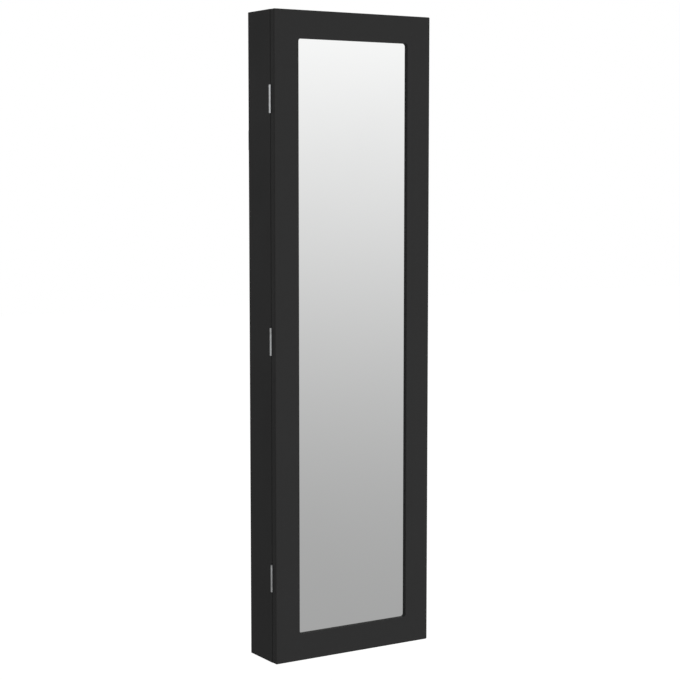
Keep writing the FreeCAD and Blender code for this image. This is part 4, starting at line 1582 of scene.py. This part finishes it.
@dataclass
class Studio:
    """A white room with a pale floor and soft light.

    Attributes:
        floor_drop: how far the floor is below the cabinet, which hangs on a wall.
        floor_size: side of the floor.
        floor_colour: its colour.
        floor_near: how far from the cabinet the floor starts to lighten to the eye.
        floor_far: how far from it the floor is white.
        near_lift: how much lighter the eye sees the floor below the cabinet.
        far_lift: how much lighter it sees the floor far off.
        white: tone of the background.
        shade: tone that a mirror shows of the room near the floor.
        shade_end: sine of the downward slant below which that tone is all there is.
        white_end: sine of the upward slant from which a mirror shows white.
        shade_blend: how softly the shade passes into the slope above it.
        fill: level of the even light.
        key_power: power of the large lamp, in watts.
        key_size: side of that lamp.
        key_place: where it stands.
        key_target: where it points.
    """

    floor_drop: float = 0.45
    floor_size: float = 24.0
    floor_colour: Colour = (0.86, 0.86, 0.86)
    floor_near: float = 0.5
    floor_far: float = 1.8
    near_lift: float = 0.41
    far_lift: float = 0.55
    white: float = 1.0
    shade: float = 0.385
    shade_end: float = -0.190
    white_end: float = 0.082
    shade_blend: float = 0.41
    fill: float = 0.55
    key_power: float = 63.0
    key_size: float = 1.6
    key_place: Point = (0.9, -3.4, -0.35)
    key_target: Point = (0.0, 0.0, -0.35)

    def build(self) -> None:
        """Makes the room, its floor and its lamp."""
        for part in (self.room, self.floor, self.key):
            part()

    def room(self) -> None:
        """Makes the world: white to the eye, shaded towards the floor in mirrors, even as light."""
        world = bpy.data.worlds.new("room")
        bpy.context.scene.world = world
        graph = Graph.afresh(world)
        path = graph.add("ShaderNodeLightPath").outputs
        mirrored = graph.math("MAXIMUM", path["Is Glossy Ray"], path["Is Transmission Ray"])
        level = graph.mix(mirrored, self.fill, self.slope(graph), Mixing.NUMBER)
        level = graph.mix(path["Is Camera Ray"], level, self.white, Mixing.NUMBER)
        background = graph.add("ShaderNodeBackground", {"Color": WHITE, "Strength": level})
        graph.add("ShaderNodeOutputWorld", {"Surface": background.outputs[0]})

    def slope(self, graph: Graph) -> Socket:
        """Draws how the room darkens from eye height to the floor.

        Args:
            graph: the world's graph.

        Returns:
            The room's tone in the direction that is looked up.
        """
        direction = graph.add("ShaderNodeTexCoord").outputs["Generated"]
        slant = graph.add("ShaderNodeSeparateXYZ", {"Vector": direction}).outputs["Z"]
        source = {"Value": slant, "From Min": self.shade_end, "From Max": self.white_end}
        target = {"To Min": self.shade, "To Max": self.white}
        rising = graph.add("ShaderNodeMapRange", {**source, **target}, clamp=False).outputs["Result"]
        capped = graph.math("MINIMUM", rising, self.white)
        inputs = {0: capped, 1: self.shade, 2: self.shade_blend}
        return graph.add("ShaderNodeMath", inputs, operation="SMOOTH_MAX").outputs[0]

    def floor(self) -> None:
        """Makes the pale floor, which keeps the cabinet's shadow."""
        half = self.floor_size / 2
        height = CAD_BOX[0].z - self.floor_drop
        corners = [(x, y, height) for x, y in ((-half, -half), (half, -half), (half, half), (-half, half))]
        mesh = bpy.data.meshes.new("floor")
        mesh.from_pydata(corners, [], [tuple(range(len(corners)))])
        piece = linked("floor", mesh)
        piece.visible_glossy = False
        piece.data.materials.append(self.floor_material())

    def floor_material(self) -> bpy.types.Material:
        """Makes the floor's material: pale, and white to the eye further off.

        Returns:
            The material.
        """
        made = bpy.data.materials.new("pale_floor")
        graph = Graph.afresh(made)
        spot = graph.place(LEVEL, 1.0)
        away = graph.add("ShaderNodeVectorMath", {0: spot}, operation="LENGTH").outputs["Value"]
        strength = graph.fit(away, (self.floor_near, self.floor_far), (self.near_lift, self.far_lift))
        lit = graph.add("ShaderNodeBsdfDiffuse", {"Color": self.floor_colour}).outputs[0]
        lift = graph.add("ShaderNodeEmission", {"Color": WHITE, "Strength": strength}).outputs[0]
        seen = graph.add("ShaderNodeAddShader", {0: lit, 1: lift}).outputs[0]
        looked_at = graph.add("ShaderNodeLightPath").outputs["Is Camera Ray"]
        mixed = graph.add("ShaderNodeMixShader", {0: looked_at, 1: lit, 2: seen})
        graph.add("ShaderNodeOutputMaterial", {"Surface": mixed.outputs[0]})
        return made

    def key(self) -> None:
        """Makes the large soft lamp in front of the cabinet."""
        light = bpy.data.lights.new("key", "AREA")
        light.energy = self.key_power
        light.size = self.key_size
        lamp = aimed("key", light, self.key_place, Vector(self.key_target) - Vector(self.key_place))
        lamp.visible_glossy = False


@dataclass
class Viewpoint:
    """The camera, where the photographer stood.

    Attributes:
        place: where it is.
        yaw: how far it is turned to the right of facing the wall, in degrees.
        pitch: how far it looks down, in degrees.
        lens: focal length, in mm.
        film_width: width of the film, in mm.
    """

    place: Point = (-1.511, -2.462, -0.054)
    yaw: float = 31.99
    pitch: float = 5.47
    lens: float = 90.57
    film_width: float = 36.0

    def build(self) -> None:
        """Makes the camera and has the scene use it."""
        data = bpy.data.cameras.new("camera")
        data.sensor_width = self.film_width
        data.lens = self.lens
        yaw, pitch = math.radians(self.yaw), math.radians(self.pitch)
        ahead = Vector((math.sin(yaw) * math.cos(pitch), math.cos(yaw) * math.cos(pitch), -math.sin(pitch)))
        bpy.context.scene.camera = aimed("camera", data, self.place, ahead)


def main() -> None:
    """Builds the camera, the cabinet's sub-assemblies in the order of assembly, and the studio."""
    logging.basicConfig(level=logging.INFO, format="%(message)s")
    bpy.context.scene.view_settings.view_transform = "Standard"
    Viewpoint().build()
    dressed = 0
    assemblies = (
        Case(), Shelving(), NecklaceRail(), RingTray(), WallHangers(), Hinges(), Catch(),
        MirrorDoor(), EarringRack(), BraceletStrip(), Pocket(),
    )
    for assembly in assemblies:
        for piece in assembly.build():
            log.info("%s: %d faces", piece.name, len(piece.data.polygons))
        dressed += assembly.dress()
    log.info("%d packed pieces dressed of %d", dressed, len(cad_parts))
    Studio().build()


if __name__ == "__main__":
    main()
